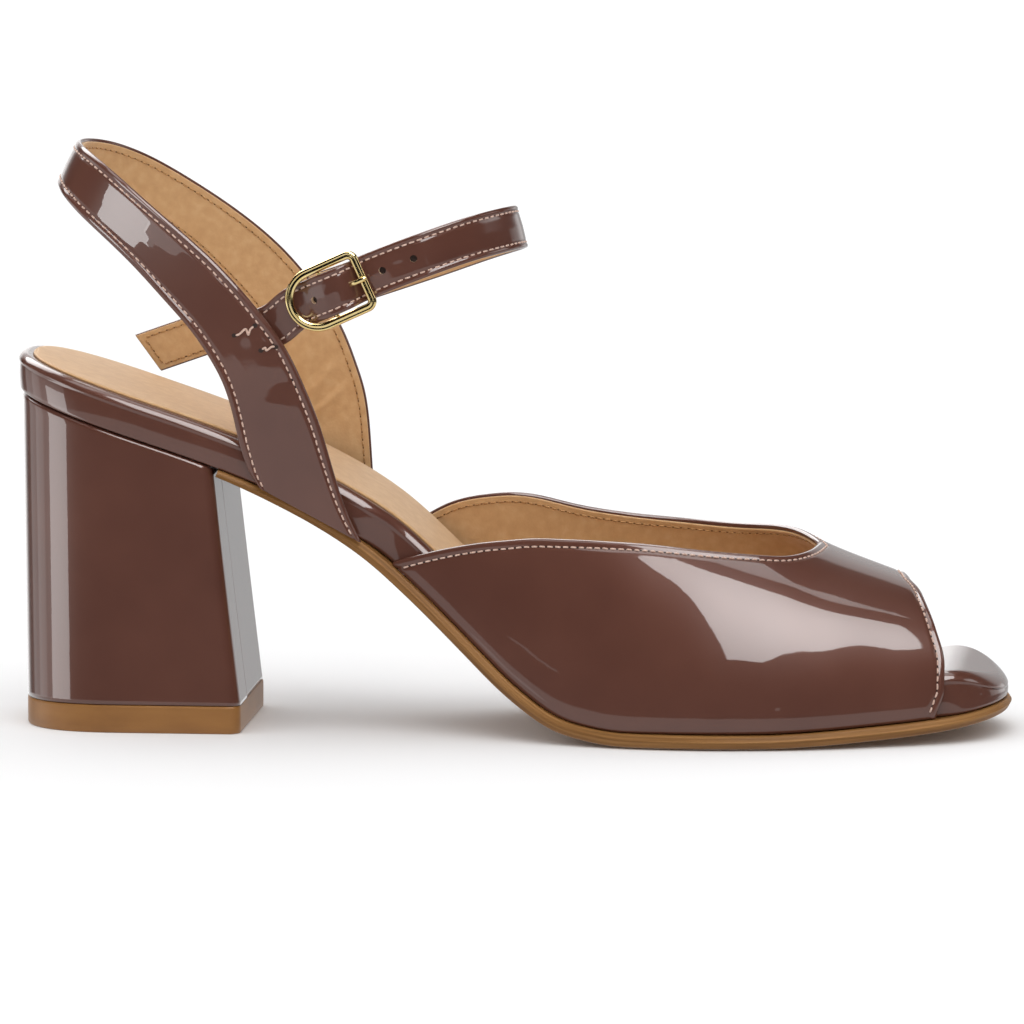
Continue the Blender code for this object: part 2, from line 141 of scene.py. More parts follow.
def loft(name, sections, look, sharp=None, closed=False):
    # closed loops joined one to the next, with each end filled by strips from side to side
    count, around = sections.shape[:2]
    i, k = np.meshgrid(np.arange(count if closed else count - 1), np.arange(around), indexing="ij")
    j, n = (i + 1) % count, (k + 1) % around
    quads = np.stack([i * around + k, i * around + n, j * around + n, j * around + k], -1).reshape(-1, 4)
    run = lengths(sections.mean(1))
    girth = lengths(np.concatenate([sections[count // 2], sections[count // 2, :1]]))
    run = np.append(run, run[-1] + 1)
    uvs = np.stack([np.stack([run[i], girth[k]], -1), np.stack([run[i], girth[k + 1]], -1),
                    np.stack([run[i + 1], girth[k + 1]], -1), np.stack([run[i + 1], girth[k]], -1)], 2)
    uvs = uvs.reshape(-1, 4, 2)
    if not closed:
        low = np.arange(around // 2 - 1)
        strip = np.stack([low, around - 1 - low, around - 2 - low, low + 1], 1)
        last = strip[:, ::-1] + (count - 1) * around
        quads = np.concatenate([quads, strip, last])
        ends = np.stack([np.zeros(strip.shape), girth[strip]], -1)
        uvs = np.concatenate([uvs, ends, ends[:, ::-1] + (run[-1], 0)])
    return placeMesh(name, sections.reshape(-1, 3), quads, look, sharp, uvs)


def ringAround(centre, way, count, wide, high):
    # an ellipse in the plane across a direction: level half size wide, the other half size high
    turn = unit(np.cross(way, (0, 0, 1.0)))
    angle = np.linspace(0, 2 * math.pi, count, endpoint=False)[:, None]
    return centre + wide * np.cos(angle) * turn + high * np.sin(angle) * np.cross(turn, way)


def cutHoles(item, centres, ways, radius, depth, look):
    # round holes through a finished mesh, whose walls take their own finish
    for centre, way in zip(centres, ways):
        ring = ringAround(centre, way, 32, radius, radius)
        cutter = loft("holeCutter", np.stack([ring - way * depth, ring + way * depth]), look)
        change = item.modifiers.new("hole", "BOOLEAN")
        change.object, change.solver, change.material_mode = cutter, "EXACT", "TRANSFER"
        bpy.context.view_layer.update()
        shape = bpy.data.meshes.new_from_object(item.evaluated_get(bpy.context.evaluated_depsgraph_get()))
        item.modifiers.clear()
        item.data = shape
        bpy.data.objects.remove(cutter)
    item.data.set_sharp_from_angle(angle=math.radians(38))


# Finishes

def newLook(name):
    look = bpy.data.materials.new(name)
    look.use_nodes = True
    return look, look.node_tree.nodes, look.node_tree.links, look.node_tree.nodes["Principled BSDF"]


def setSockets(shader, sockets):
    for name, value in sockets.items():
        shader.inputs[name].default_value = value


def noise(nodes, links, source, scale, detail, stretch=None):
    # a noise pattern on coordinates in metres, drawn out along an axis by stretch
    texture = nodes.new("ShaderNodeTexNoise")
    texture.inputs["Scale"].default_value = scale
    texture.inputs["Detail"].default_value = detail
    if stretch:
        mapping = nodes.new("ShaderNodeMapping")
        mapping.inputs["Scale"].default_value = stretch
        links.new(source, mapping.inputs["Vector"])
        source = mapping.outputs["Vector"]
    links.new(source, texture.inputs["Vector"])
    return texture.outputs["Fac"]


def blendColors(nodes, links, factor, stops):
    # colours read from a factor between given places
    ramp = nodes.new("ShaderNodeValToRGB")
    ramp.color_ramp.elements[0].position, ramp.color_ramp.elements[0].color = stops[0][0], (*stops[0][1], 1)
    ramp.color_ramp.elements[1].position, ramp.color_ramp.elements[1].color = stops[-1][0], (*stops[-1][1], 1)
    for place, color in stops[1:-1]:
        ramp.color_ramp.elements.new(place).color = (*color, 1)
    links.new(factor, ramp.inputs["Fac"])
    return ramp.outputs["Color"]


def bumped(nodes, links, height, depth, base=None):
    # bump from a height pattern whose full range is depth millimetres
    bump = nodes.new("ShaderNodeBump")
    bump.inputs["Distance"].default_value = depth * mm
    links.new(height, bump.inputs["Height"])
    if base is not None:
        links.new(base, bump.inputs["Normal"])
    return bump.outputs["Normal"]


patent = {
    "dark": (0.090, 0.031, 0.020), "light": (0.110, 0.040, 0.026), "shadeScale": 38,
    "waveScale": 48, "waveDepth": 0.05, "peelScale": 240, "peelDepth": 0.011,
    "sockets": {"Roughness": 0.36, "Specular IOR Level": 0.22, "Coat Weight": 1.0, "Coat Roughness": 0.02},
}


def patentLook(name="patent leather"):
    # brown leather under a thick clear coat, whose mirror is a little wavy and faintly pebbled
    look, nodes, links, shader = newLook(name)
    where = nodes.new("ShaderNodeTexCoord").outputs["Object"]
    shade = noise(nodes, links, where, patent["shadeScale"], 3)
    color = blendColors(nodes, links, shade, ((0.3, patent["dark"]), (0.7, patent["light"])))
    links.new(color, shader.inputs["Base Color"])
    setSockets(shader, patent["sockets"])
    wave = bumped(nodes, links, noise(nodes, links, where, patent["waveScale"], 1.5), patent["waveDepth"])
    peel = noise(nodes, links, where, patent["peelScale"], 2)
    normal = bumped(nodes, links, peel, patent["peelDepth"], base=wave)
    links.new(normal, shader.inputs["Normal"])
    links.new(normal, shader.inputs["Coat Normal"])
    return look


lining = {
    "dark": (0.54, 0.315, 0.140), "mid": (0.585, 0.35, 0.162), "light": (0.63, 0.40, 0.200),
    "poreScale": 1900, "poreDepth": 0.05, "napScale": 420,
    "sockets": {"Roughness": 0.55, "Sheen Weight": 0.25, "Sheen Roughness": 0.45},
}


def liningLook(name="lining leather"):
    # tan leather with a soft mottle, fine pores and a short nap
    look, nodes, links, shader = newLook(name)
    where = nodes.new("ShaderNodeTexCoord").outputs["Object"]
    mottle = noise(nodes, links, where, lining["napScale"], 6)
    stops = ((0.30, lining["dark"]), (0.52, lining["mid"]), (0.72, lining["light"]))
    links.new(blendColors(nodes, links, mottle, stops), shader.inputs["Base Color"])
    setSockets(shader, lining["sockets"])
    pores = noise(nodes, links, where, lining["poreScale"], 4)
    normal = bumped(nodes, links, pores, lining["poreDepth"])
    links.new(normal, shader.inputs["Normal"])
    return look


soleEdgeLook = {
    "dark": (0.13, 0.055, 0.014), "mid": (0.215, 0.098, 0.027), "light": (0.31, 0.155, 0.048),
    "layerScale": 240, "layerDepth": 0.05,
    "sockets": {"Roughness": 0.5, "Specular IOR Level": 0.2, "Coat Weight": 0.05, "Coat Roughness": 0.25},
}


def soleLook(name="sole leather"):
    # waxed sole leather: streaks that run with the edge, and a burnished gloss
    look, nodes, links, shader = newLook(name)
    where = nodes.new("ShaderNodeUVMap")
    where.uv_map = "run"
    streak = noise(nodes, links, where.outputs["UV"], soleEdgeLook["layerScale"], 5, (0.12, 6.0, 1.0))
    stops = ((0.28, soleEdgeLook["dark"]), (0.5, soleEdgeLook["mid"]), (0.74, soleEdgeLook["light"]))
    links.new(blendColors(nodes, links, streak, stops), shader.inputs["Base Color"])
    setSockets(shader, soleEdgeLook["sockets"])
    normal = bumped(nodes, links, streak, soleEdgeLook["layerDepth"])
    links.new(normal, shader.inputs["Normal"])
    return look


# colours between two shades by one noise, and a grain of (scale, detail, depth) by another
treadFinish = {
    "dark": (0.215, 0.088, 0.018), "light": (0.30, 0.132, 0.030), "scale": 60, "detail": 4,
    "stretch": (1.0, 1.0, 3.0), "grain": (2400, 3, 0.02), "sockets": {"Roughness": 0.42},
}
goldFinish = {
    "dark": (0.80, 0.60, 0.25), "light": (0.90, 0.73, 0.38), "scale": 400, "detail": 3,
    "grain": (1800, 2, 0.002), "sockets": {"Metallic": 1.0, "Roughness": 0.17},
}
threadFinish = {"scale": 2600, "detail": 2, "grain": (2600, 2, 0.05),
                "sockets": {"Roughness": 0.6, "Sheen Weight": 0.3}}
creamFinish = {"dark": (0.44, 0.27, 0.20), "light": (0.70, 0.50, 0.41), **threadFinish}
goldenFinish = {"dark": (0.33, 0.155, 0.045), "light": (0.56, 0.31, 0.11), **threadFinish}
cutFinish = {"dark": (0.50, 0.33, 0.20), "light": (0.68, 0.50, 0.34), "scale": 500, "detail": 3,
             "sockets": {"Roughness": 0.7}}
# the near-black of the needle holes, and the dark brown of those in the lining, are painted shade
paintedNeedleShade = {"dark": (0.012, 0.006, 0.004), "light": (0.03, 0.014, 0.01), "scale": 500, "detail": 3,
                "sockets": {"Roughness": 0.8}}
paintedLiningNeedleShade = {**paintedNeedleShade, "dark": (0.13, 0.06, 0.02), "light": (0.20, 0.10, 0.035)}


def grainedLook(name, finish):
    look, nodes, links, shader = newLook(name)
    where = nodes.new("ShaderNodeTexCoord").outputs["Object"]
    cloud = noise(nodes, links, where, finish["scale"], finish["detail"], finish.get("stretch"))
    stops = ((0.3, finish["dark"]), (0.7, finish["light"]))
    links.new(blendColors(nodes, links, cloud, stops), shader.inputs["Base Color"])
    setSockets(shader, finish["sockets"])
    if "grain" in finish:
        scale, detail, depth = finish["grain"]
        grain = noise(nodes, links, where, scale, detail)
        links.new(bumped(nodes, links, grain, depth), shader.inputs["Normal"])
    return look


brownPatent = patentLook()
tanLining = liningLook()
tanSock = liningLook("sock leather")
tanSole = soleLook()
tanTread = grainedLook("tread rubber", treadFinish)
paleGold = grainedLook("pale gold", goldFinish)
creamThread = grainedLook("cream thread", creamFinish)
goldenThread = grainedLook("golden thread", goldenFinish)
cutEdge = grainedLook("cut leather edge", cutFinish)
# the two needle hole finishes are painted shade
needleShadow = grainedLook("needle hole painted shade", paintedNeedleShade)
liningShadow = grainedLook("lining needle hole painted shade", paintedLiningNeedleShade)
print("finishes ready")


# Thread: one stitch is a short tube whose middle rises off the leather and whose ends go into it

stitching = {"pitch": 1.85, "length": 1.42, "radius": 0.2, "rows": 7, "ring": 6, "wander": 0.05, "seed": 7}
wander = np.random.default_rng(stitching["seed"])


def stitchRow(path, normals, start=0.0, end=0.0):
    # stitches at one pitch along a path, from start to end millimetres inside its ends
    length = stitching["length"]
    run = lengths(path)
    count = max(int((run[-1] - start - end) / stitching["pitch"]), 1)
    places = start + (np.arange(count) + 0.5) * (run[-1] - start - end) / count
    read = lambda values, s: np.stack([np.interp(s, run, values[:, k]) for k in range(3)], 1)
    centres = read(path, places)
    forward = unit(read(path, places + length / 2) - read(path, places - length / 2))
    up = unit(read(normals, places))
    return centres, forward, up, np.full(count, length)


def threadPiece(name, rows, look):
    # all stitches of one thread as one mesh, each turned and sized a little differently
    radius = stitching["radius"]
    centres, forward, up, length = (np.concatenate([row[k] for row in rows]) for k in range(4))
    side = unit(np.cross(up, forward))
    lean = wander.normal(0, stitching["wander"], len(centres))[:, None]
    forward, side = unit(forward + side * lean), unit(side - forward * lean)
    length = length * (1 + wander.normal(0, stitching["wander"], len(length)))
    s = np.linspace(-1, 1, stitching["rows"])[None, :, None, None]
    a = (np.arange(stitching["ring"]) * 2 * math.pi / stitching["ring"])[None, None, :, None]
    lift = radius * (0.55 - 1.5 * s**4)
    thin = radius * (1 - 0.25 * s**6)
    spread = lambda v: v[:, None, None, :]
    verts = (spread(centres) + spread(forward) * s * (length / 2)[:, None, None, None]
             + spread(up) * (lift + thin * np.cos(a)) + spread(side) * thin * 1.12 * np.sin(a))
    n, rowsCount, ring = verts.shape[:3]
    i, k = np.meshgrid(np.arange(rowsCount - 1), np.arange(ring), indexing="ij")
    tube = np.stack([i * ring + k, i * ring + (k + 1) % ring, (i + 1) * ring + (k + 1) % ring,
                     (i + 1) * ring + k], -1).reshape(-1, 4)
    caps = np.array([[3, 2, 1, 0], [5, 4, 3, 0]])
    ends = np.concatenate([caps, caps[:, ::-1] + (rowsCount - 1) * ring])
    quads = np.concatenate([tube, ends])
    quads = (quads[None] + (np.arange(n) * rowsCount * ring)[:, None, None]).reshape(-1, 4)
    return placeMesh(name, verts.reshape(-1, 3), quads, look)


needle = {"long": 0.30, "wide": 0.17, "proud": 0.03, "deep": 0.25}


def needlePiece(name, rows, look):
    # small dimples where the thread goes in, between each two stitches, dark with painted shade
    spots, ups, runs = [], [], []
    for centres, forward, up, length in rows:
        spots.append((centres[:-1] + centres[1:]) / 2)
        ups.append(unit(up[:-1] + up[1:]))
        runs.append(unit(forward[:-1] + forward[1:]))
    spots, up, forward = np.concatenate(spots), np.concatenate(ups), np.concatenate(runs)
    side = unit(np.cross(up, forward))
    a = (np.arange(8) * math.pi / 4)[None, :, None]
    rim = (spots[:, None] + forward[:, None] * needle["long"] * np.cos(a)
           + side[:, None] * needle["wide"] * np.sin(a))
    verts = np.concatenate([rim + up[:, None] * needle["proud"], rim - up[:, None] * needle["deep"]], 1)
    k = np.arange(8)
    wall = np.stack([k, (k + 1) % 8, (k + 1) % 8 + 8, k + 8], 1)
    lid = np.array([[0, 7, 6, 1], [1, 6, 5, 2], [2, 5, 4, 3]])
    quads = np.concatenate([wall, lid, lid[:, ::-1] + 8])
    quads = (quads[None] + (np.arange(len(spots)) * 16)[:, None, None]).reshape(-1, 4)
    return placeMesh(name, verts.reshape(-1, 3), quads, look, sharp=40)


def sew(name, outer, inside):
    # the rows of thread and their needle holes, which are dark with painted shade, on the patent leather and on
    # the lining
    item = threadPiece(f"{name}Stitches", outer, creamThread)
    item = needlePiece(f"{name}NeedleHoles", outer, needleShadow)
    item = threadPiece(f"{name}LiningStitches", inside, goldenThread)
    item = needlePiece(f"{name}LiningNeedleHoles", inside, liningShadow)


# The sole's plan and side view

plan = columns(
    "x outer inner",
    (-1, 25.8, 25.8), (14, 25.6, 25.2), (28, 24.6, 23.6), (45, 23.4, 21.6), (60, 23.8, 20.8),
    (75, 26.8, 22.0), (90, 31.6, 25.4), (105, 36.8, 30.2), (120, 40.6, 34.6), (135, 41.8, 37.2),
    (150, 40.4, 37.8), (165, 37.0, 36.2), (178, 32.0, 32.6),
)
tips = {"heel": -28.4, "toe": 205.0, "heelRound": 2.5, "toeRound": 2.15, "toeSwing": 2.4, "uprightBack": 24.0}
sideView = columns(
    "x under outsole platform",
    (-29, 79.6, 2.0, 8.6), (-3, 70.9, 2.0, 8.6), (19, 63.4, 2.0, 8.6), (40, 54.4, 2.8, 8.6),
    (55, 45.9, 3.3, 8.6), (69, 34.2, 3.4, 8.0), (82, 22.0, 3.4, 7.2), (92, 12.9, 3.4, 6.6),
    (104, 5.7, 3.4, 6.2), (118, 3.7, 3.4, 6.2), (148, 3.7, 3.4, 6.4), (175, 5.0, 3.4, 8.4),
    (192, 6.4, 3.2, 10.4), (206, 8.6, 3.0, 10.0),
)
toeTop = columns("x platform", (160, 7.0), (175, 8.4), (186, 9.9), (191.5, 10.5), (196, 9.9), (199, 8.7),
                 (201.5, 7.2), (203.5, 5.7), (206, 4.4))
toeTopStart, toeTopEase = 170, 1.2


def soleEdge(x, side):
    # half-width of the sole at x: the table's curve, closed at both tips by a superellipse
    width = along(plan, side, x)
    heelStart, toeStart = plan["x"][0], plan["x"][-1]
    back = np.clip((heelStart - x) / (heelStart - tips["heel"]), 0, 1)
    front = np.clip((x - toeStart) / (tips["toe"] - toeStart), 0, 1)
    lean = (plan[side][-1] - plan[side][-2]) / (toeStart - plan["x"][-2])
    width = width + lean * (x - toeStart) * (front > 0) * (1 - front)
    width = width + (0.5 if side == "inner" else -0.5) * tips["toeSwing"] * front**2
    closing = (1 - back ** tips["heelRound"]) ** (1 / tips["heelRound"])
    return width * closing * (1 - front ** tips["toeRound"]) ** (1 / tips["toeRound"])


def planPairs(x, inset):
    # plan points on both edges at each x, moved in from the edge along its normal
    made = []
    for side, sign in sides:
        rim = np.stack([x, sign * soleEdge(x, side)], 1)
        run = unit(np.gradient(rim, axis=0))
        inward = sign * np.stack([run[:, 1], -run[:, 0]], 1)
        made.append(rim + inward * np.broadcast_to(inset, x.shape)[:, None])
    return made


def lifted(flat, height):
    # plan points raised off the platform's underside, along the side view's normal
    x = flat[:, 0]
    slope = along(sideView, "under", x + 0.5) - along(sideView, "under", x - 0.5)
    height = np.broadcast_to(height, x.shape) / np.hypot(slope, 1)
    upright = np.clip((x - tips["heel"]) / tips["uprightBack"], 0, 1)
    z = along(sideView, "under", x) + height * (1 + (1 - upright) * slope**2)
    return np.stack([x - slope * upright * height, flat[:, 1], z], 1)


def layered(x, layers, crown):
    # sections across the sole: layers of (inset, height) up one side, points of (share, rise) across
    # the top, and the same layers down the other side. A height may be a function of x
    pairs = [(planPairs(x, inset), height) for inset, height in layers]
    rise = lambda flat, height: height(flat[:, 0]) if callable(height) else height
    outer = [lifted(pair[0], rise(pair[0], height)) for pair, height in pairs]
    inner = [lifted(pair[1], rise(pair[1], height)) for pair, height in pairs]
    top = [outer[-1] + (inner[-1] - outer[-1]) * share + np.array([0, 0, rise]) for share, rise in crown]
    return np.stack([*outer, *top, *reversed(inner)], 1)


def roundStations(start, end, count, roundStart=True):
    # places along x that draw together where the plan's end is round
    t = np.linspace(0, 1, count)
    share = (1 - np.cos(math.pi * t)) / 2 if roundStart else np.sin(math.pi / 2 * t)
    return start + (end - start) * share


def crownOf(count, rise):
    # evenly spread points across a top that swells by rise in the middle
    return [(s, rise * math.sin(math.pi * s) ** 0.7) for s in np.linspace(0, 1, count + 2)[1:-1]]


# Outsole

outsoleMake = {"back": 21.4, "bulge": 0.4, "gap": 0.12, "stations": 300}


def makeOutsole():
    # its edge has two facets that meet in a soft ridge a little above the middle
    x = roundStations(outsoleMake["back"], tips["toe"] - 0.004, outsoleMake["stations"], roundStart=False)
    thick = along(sideView, "outsole", x)
    bulge = outsoleMake["bulge"]
    profile = ((2.4, 1.0), (1.5, 1.0), (1.05, 0.985), (0.7, 0.94), (0.42, 0.87), (0.2, 0.78),
               (0.0, 0.68), (-0.22, 0.58), (-bulge, 0.5), (-bulge - 0.02, 0.46), (-bulge + 0.04, 0.42),
               (-0.22, 0.32), (-0.08, 0.2), (0.06, 0.09), (0.3, 0.03), (0.7, 0.0), (1.6, 0.0))
    layers = [(inset, -outsoleMake["gap"] - (thick - outsoleMake["gap"]) * share) for inset, share in profile]
    sections = layered(x, layers, crownOf(10, 0.0))
    item = loft("outsoleLeather", sections, tanSole, sharp=50)
    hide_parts("outsole")


makeOutsole()
print("outsole made")


# Platform and sock

rimView = columns(
    "x inset run drop",
    (-29, 0.2, 1.9, 1.9), (53, 0.2, 1.9, 1.9), (59, 3.0, 1.8, 1.8), (184, 3.4, 2.0, 2.0),
    (190, 3.0, 2.2, 2.1), (196, 0.6, 2.4, 2.2), (206, 0.0, 2.4, 2.2),
)
rimEase = 1.6
platformMake = {"stations": 360, "bead": 0.28, "foot": 0.9, "swell": 0.18}
sockMake = {"thick": 0.5, "inset": 2.9, "front": 184.0, "stations": 420, "swell": 0.3, "ease": 6,
            "roundFrom": 10.0, "roundIn": 9.0, "edge": 0.75}


def makePlatform():
    # a wrapped side that swells slightly, a fine bead at the rim, and a rounded top edge
    x = roundStations(tips["heel"] + 0.004, tips["toe"] - 0.004, platformMake["stations"])
    inset, run = (along(rimView, name, x, ease=rimEase) for name in ("inset", "run"))
    foot = platformMake["foot"]

    def wall(flatX, share=1.0, more=0.0):
        front = along(toeTop, "platform", flatX, ease=toeTopEase)
        thick = np.where(flatX < toeTopStart, along(sideView, "platform", flatX), front)
        return (thick - along(rimView, "drop", flatX, ease=rimEase) - foot) * share + foot + more

    layers = [(inset + foot + 1.5, 0.0)]
    for turn in np.linspace(0, 1, 7):
        angle = turn * math.pi / 2
        layers.append((inset + foot * (1 - math.sin(angle)), foot * (1 - math.cos(angle))))
    for share in np.linspace(0.08, 0.86, 9):
        swell = platformMake["swell"] * math.sin(math.pi * share)
        layers.append((inset - swell, lambda flatX, share=share: wall(flatX, share)))
    bead = platformMake["bead"]
    for out, more in ((0.02, -0.55), (bead * 0.8, -0.25), (bead, 0.05)):
        layers.append((inset - out, lambda flatX, more=more: wall(flatX, more=more)))
    for turn in np.linspace(0.08, 1.0, 16):
        angle = turn * math.pi / 2
        start = inset - bead * (1 - turn) ** 2
        high = math.sin(angle)
        layers.append((start + run * (1 - math.cos(angle)), lambda flatX, high=high: wall(
            flatX, more=along(rimView, "drop", flatX, ease=rimEase) * high)))
    item = loft("platformCover", layered(x, layers, crownOf(16, 0.0)), brownPatent)
    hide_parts("footbed_platform")


def makeSock():
    # the thin sock, with a rounded cut edge and a slight swell
    x = roundStations(tips["heel"] + 0.004, tips["toe"] - 0.004, sockMake["stations"])
    x = x[x < sockMake["front"]]
    inset = along(rimView, "inset", x, ease=sockMake["ease"]) + sockMake["inset"]
    rounding = np.clip((x - sockMake["front"]) / sockMake["roundFrom"] + 1, 0, 1)
    inset = inset + sockMake["roundIn"] * rounding**3
    base = along(sideView, "platform", x) - 0.05
    high = sockMake["thick"] + 0.15
    layers = [(inset + 1.5, base), (inset + 0.1, base), (inset, base + high * 0.3)]
    for turn in np.linspace(0, 1, 7):
        angle = turn * math.pi / 2
        layers.append((inset + sockMake["edge"] * (1 - math.cos(angle)),
                       base + high * (0.45 + 0.55 * math.sin(angle))))
    item = loft("sockLeather", layered(x, layers, crownOf(22, sockMake["swell"])), tanSock)
    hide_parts("insole_sock")


makePlatform()
makeSock()
print("platform and sock made")


# Heel and its tread

heelMake = {
    "top": {"back": -27.4, "breast": 19.9, "halfWidth": 25.2},
    "foot": {"back": -26.6, "breast": 26.2, "halfWidth": 25.0},
    "square": 2.6, "corner": 3.0, "lip": 1.1, "seamY": -9.0, "seamDepth": 0.35, "treadHigh": 6.6,
}


def heelOutline(level, inset=0.0):
    # closed outline: a superellipse round the back, straight sides, rounded corners and a flat breast
    depth, half = -level["back"] - 1.0, level["halfWidth"]
    a = np.linspace(0, math.pi / 2, 60)
    power = 2 / heelMake["square"]
    back = np.stack([-1.0 - depth * np.cos(a) ** power, -half * np.sin(a) ** power], 1)
    corner = heelMake["corner"]
    side = np.stack([np.linspace(-1.0, level["breast"] - corner, 26)[1:], np.full(25, -half)], 1)
    b = np.linspace(0, math.pi / 2, 14)[1:]
    bend = np.stack([level["breast"] - corner + corner * np.sin(b), -half + corner * (1 - np.cos(b))], 1)
    face = np.stack([np.full(60, level["breast"]), np.linspace(-half + corner, 0, 61)[1:]], 1)
    near = np.concatenate([back, side, bend, face])
    loop = np.concatenate([near, near[-2:0:-1] * (1, -1)])
    run = unit(np.roll(loop, -1, 0) - np.roll(loop, 1, 0))
    return loop + np.stack([-run[:, 1], run[:, 0]], 1) * inset


def between(one, two, share):
    return {key: one[key] + (two[key] - one[key]) * share for key in one}


def makeHeel():
    # outlines from the seat to the floor: the seat follows the platform, and its lip is rounded
    rings = []
    shares = np.concatenate([[0.0] * 8, np.linspace(0.015, 0.985, 70), [1.0] * 3])
    lips = np.concatenate([np.linspace(math.pi / 2, 0, 8), np.zeros(73)])
    for k, (share, lip) in enumerate(zip(shares, lips)):
        inset = heelMake["lip"] * (1 - math.cos(lip)) * 1.1
        foot = (0.0, 0.12, 0.35)[max(k - 78, 0)]
        flat = heelOutline(between(heelMake["top"], heelMake["foot"], share), inset + foot)
        seat = along(sideView, "under", flat[:, 0]) - 0.22 - heelMake["lip"] * (1 - math.sin(lip))
        low = heelMake["treadHigh"] + 0.12
        z = seat + (low - seat) * share
        groove = np.exp(-0.5 * ((flat[:, 1] - heelMake["seamY"]) / 0.28) ** 2)
        step = 0.16 / (1 + np.exp((flat[:, 1] - heelMake["seamY"]) / 0.15))
        onBreast = flat[:, 0] > 15
        flat[:, 0] += onBreast * (step - heelMake["seamDepth"] * groove) - onBreast * 0.16
        rings.append(np.column_stack([flat, z]))
    item = loft("heelCover", np.stack(rings), brownPatent)
    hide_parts("heel_block")


def makeTread():
    # the tread piece: the heel's lower outline with softened edges
    rings = []
    high = heelMake["treadHigh"]
    for inset, z in ((9.0, 0.0), (0.45, 0.0), (0.22, 0.06), (0.06, 0.22), (0.0, 0.45), (-0.03, 2.0),
                     (-0.03, high - 0.8), (0.02, high - 0.28), (0.14, high - 0.08), (0.4, high), (9.0, high)):
        flat = heelOutline(heelMake["foot"], inset)
        rings.append(np.column_stack([flat, np.full(len(flat), z)]))
    item = loft("treadPiece", np.stack(rings), tanTread, sharp=60)
    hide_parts("heel_top_piece")


makeHeel()
makeTread()
print("heel made")


# Vamp

vampMake = {
    "wall": 1.8, "skin": 1.3, "inset": 0.8, "roll": 0.72, "stitchIn": 2.05, "grooveDepth": 0.16,
    "grooveWide": 0.42, "puff": 0.10, "tuck": 0.55, "tuckHigh": 1.6, "across": 118, "border": 3.6,
}
last = columns(
    "x ridgeY ridgeZ square",
    (58, 1.0, 93.0, 2.2), (85, 2.0, 79.5, 2.25), (104, 3.0, 69.0, 2.3), (126, 5.0, 58.5, 2.4),
    (144, 6.0, 51.0, 2.5), (154, 6.0, 46.4, 2.6), (160, 5.0, 43.2, 2.6), (181, 3.0, 35.6, 2.6),
    (194, 2.0, 30.5, 2.6),
)
topline = columns(
    "climb outer inner",
    (0.0, 61.8, 59.5), (0.1, 70.0, 65.5), (0.2, 78.5, 72.0), (0.3, 88.0, 80.5), (0.4, 99.5, 92.0),
    (0.5, 118.5, 119.5), (0.6, 141.5, 139.0), (0.7, 153.0, 147.3), (0.8, 157.2, 152.5),
    (0.9, 159.2, 156.5), (1.0, 160.0, 160.0),
)
peep = columns(
    "climb outer inner",
    (0.0, 189.6, 186.2), (0.1, 191.5, 185.8), (0.25, 191.5, 184.2), (0.5, 189.3, 181.4),
    (0.75, 186.3, 180.0), (0.9, 184.4, 180.4), (1.0, 181.8, 181.8),
)


def climbOf(u):
    # u runs 0 to 1 up the outer side and 1 to 2 down the inner side. Climb is 0 at the sole and 1 at
    # the ridge, spread so that the points on the last are even
    s = np.clip(np.where(u < 1, u, 2 - u), 0, 1)
    return s**1.3 / (s**1.3 + (1 - s) ** 1.3)


def lastSurface(x, u):
    # superellipse sections: across from the ridge to the sole's edge, and up from the sole to the ridge
    climb = climbOf(u)
    ridge = along(last, "ridgeY", x, ease=4)
    outer = -(soleEdge(x, "outer") - vampMake["inset"] + ridge)
    inner = soleEdge(x, "inner") - vampMake["inset"] - ridge
    reach = np.where(u < 1, outer, inner)
    foot = along(sideView, "under", x)
    power = 2 / along(last, "square", x, ease=4)
    angle = climb * math.pi / 2
    high = (along(last, "ridgeZ", x, ease=4) - foot) * np.sin(angle) ** power
    tuck = 1 - vampMake["tuck"] * np.exp(-high / vampMake["tuckHigh"]) / np.abs(reach)
    y = ridge + reach * np.maximum(np.cos(angle), 0) ** power * tuck
    return np.stack([x, y, foot + high], -1)


def edgeX(rows, u):
    # where an edge of the vamp lies along x, on either side
    climb = climbOf(u)
    read = lambda side: along(rows, side, climb, key="climb", ease=0.018)
    return np.where(u < 1, read("outer"), read("inner"))


def slopesAt(x, u):
    step = 0.002
    dx = (lastSurface(x + 0.1, u) - lastSurface(x - 0.1, u)) / 0.2
    low, high = np.clip(u - step, 0, 2), np.clip(u + step, 0, 2)
    du = (lastSurface(x, high) - lastSurface(x, low)) / (high - low)[..., None]
    return dx, du


def inwardShift(rows, u, sign):
    # the change in x and u that moves one millimetre away from an edge, square to it on the last
    x = edgeX(rows, u)
    low, high = np.clip(u - 0.004, 0, 2), np.clip(u + 0.004, 0, 2)
    run = lastSurface(edgeX(rows, high), high) - lastSurface(edgeX(rows, low), low)
    dx, du = slopesAt(x, u)
    inward = sign * unit(np.cross(unit(np.cross(dx, du)), unit(run)))
    inward = inward * np.sign(np.sum(inward * dx, -1) * sign)[..., None]
    xx, xu, uu = (np.sum(a * b, -1) for a, b in ((dx, dx), (dx, du), (du, du)))
    ix, iu = np.sum(inward * dx, -1), np.sum(inward * du, -1)
    room = xx * uu - xu**2
    return x, (ix * uu - iu * xu) / room, (iu * xx - ix * xu) / room


vampU = np.linspace(0, 2, 2 * vampMake["across"] + 1)
toplineShift = inwardShift(topline, vampU, 1)
peepShift = inwardShift(peep, vampU, -1)


def vampPlace(shift, distance):
    # the places in x and u at a distance from an edge, for every u
    x, moveX, moveU = shift
    return x + moveX * distance, np.clip(vampU + moveU * distance, 0, 2)


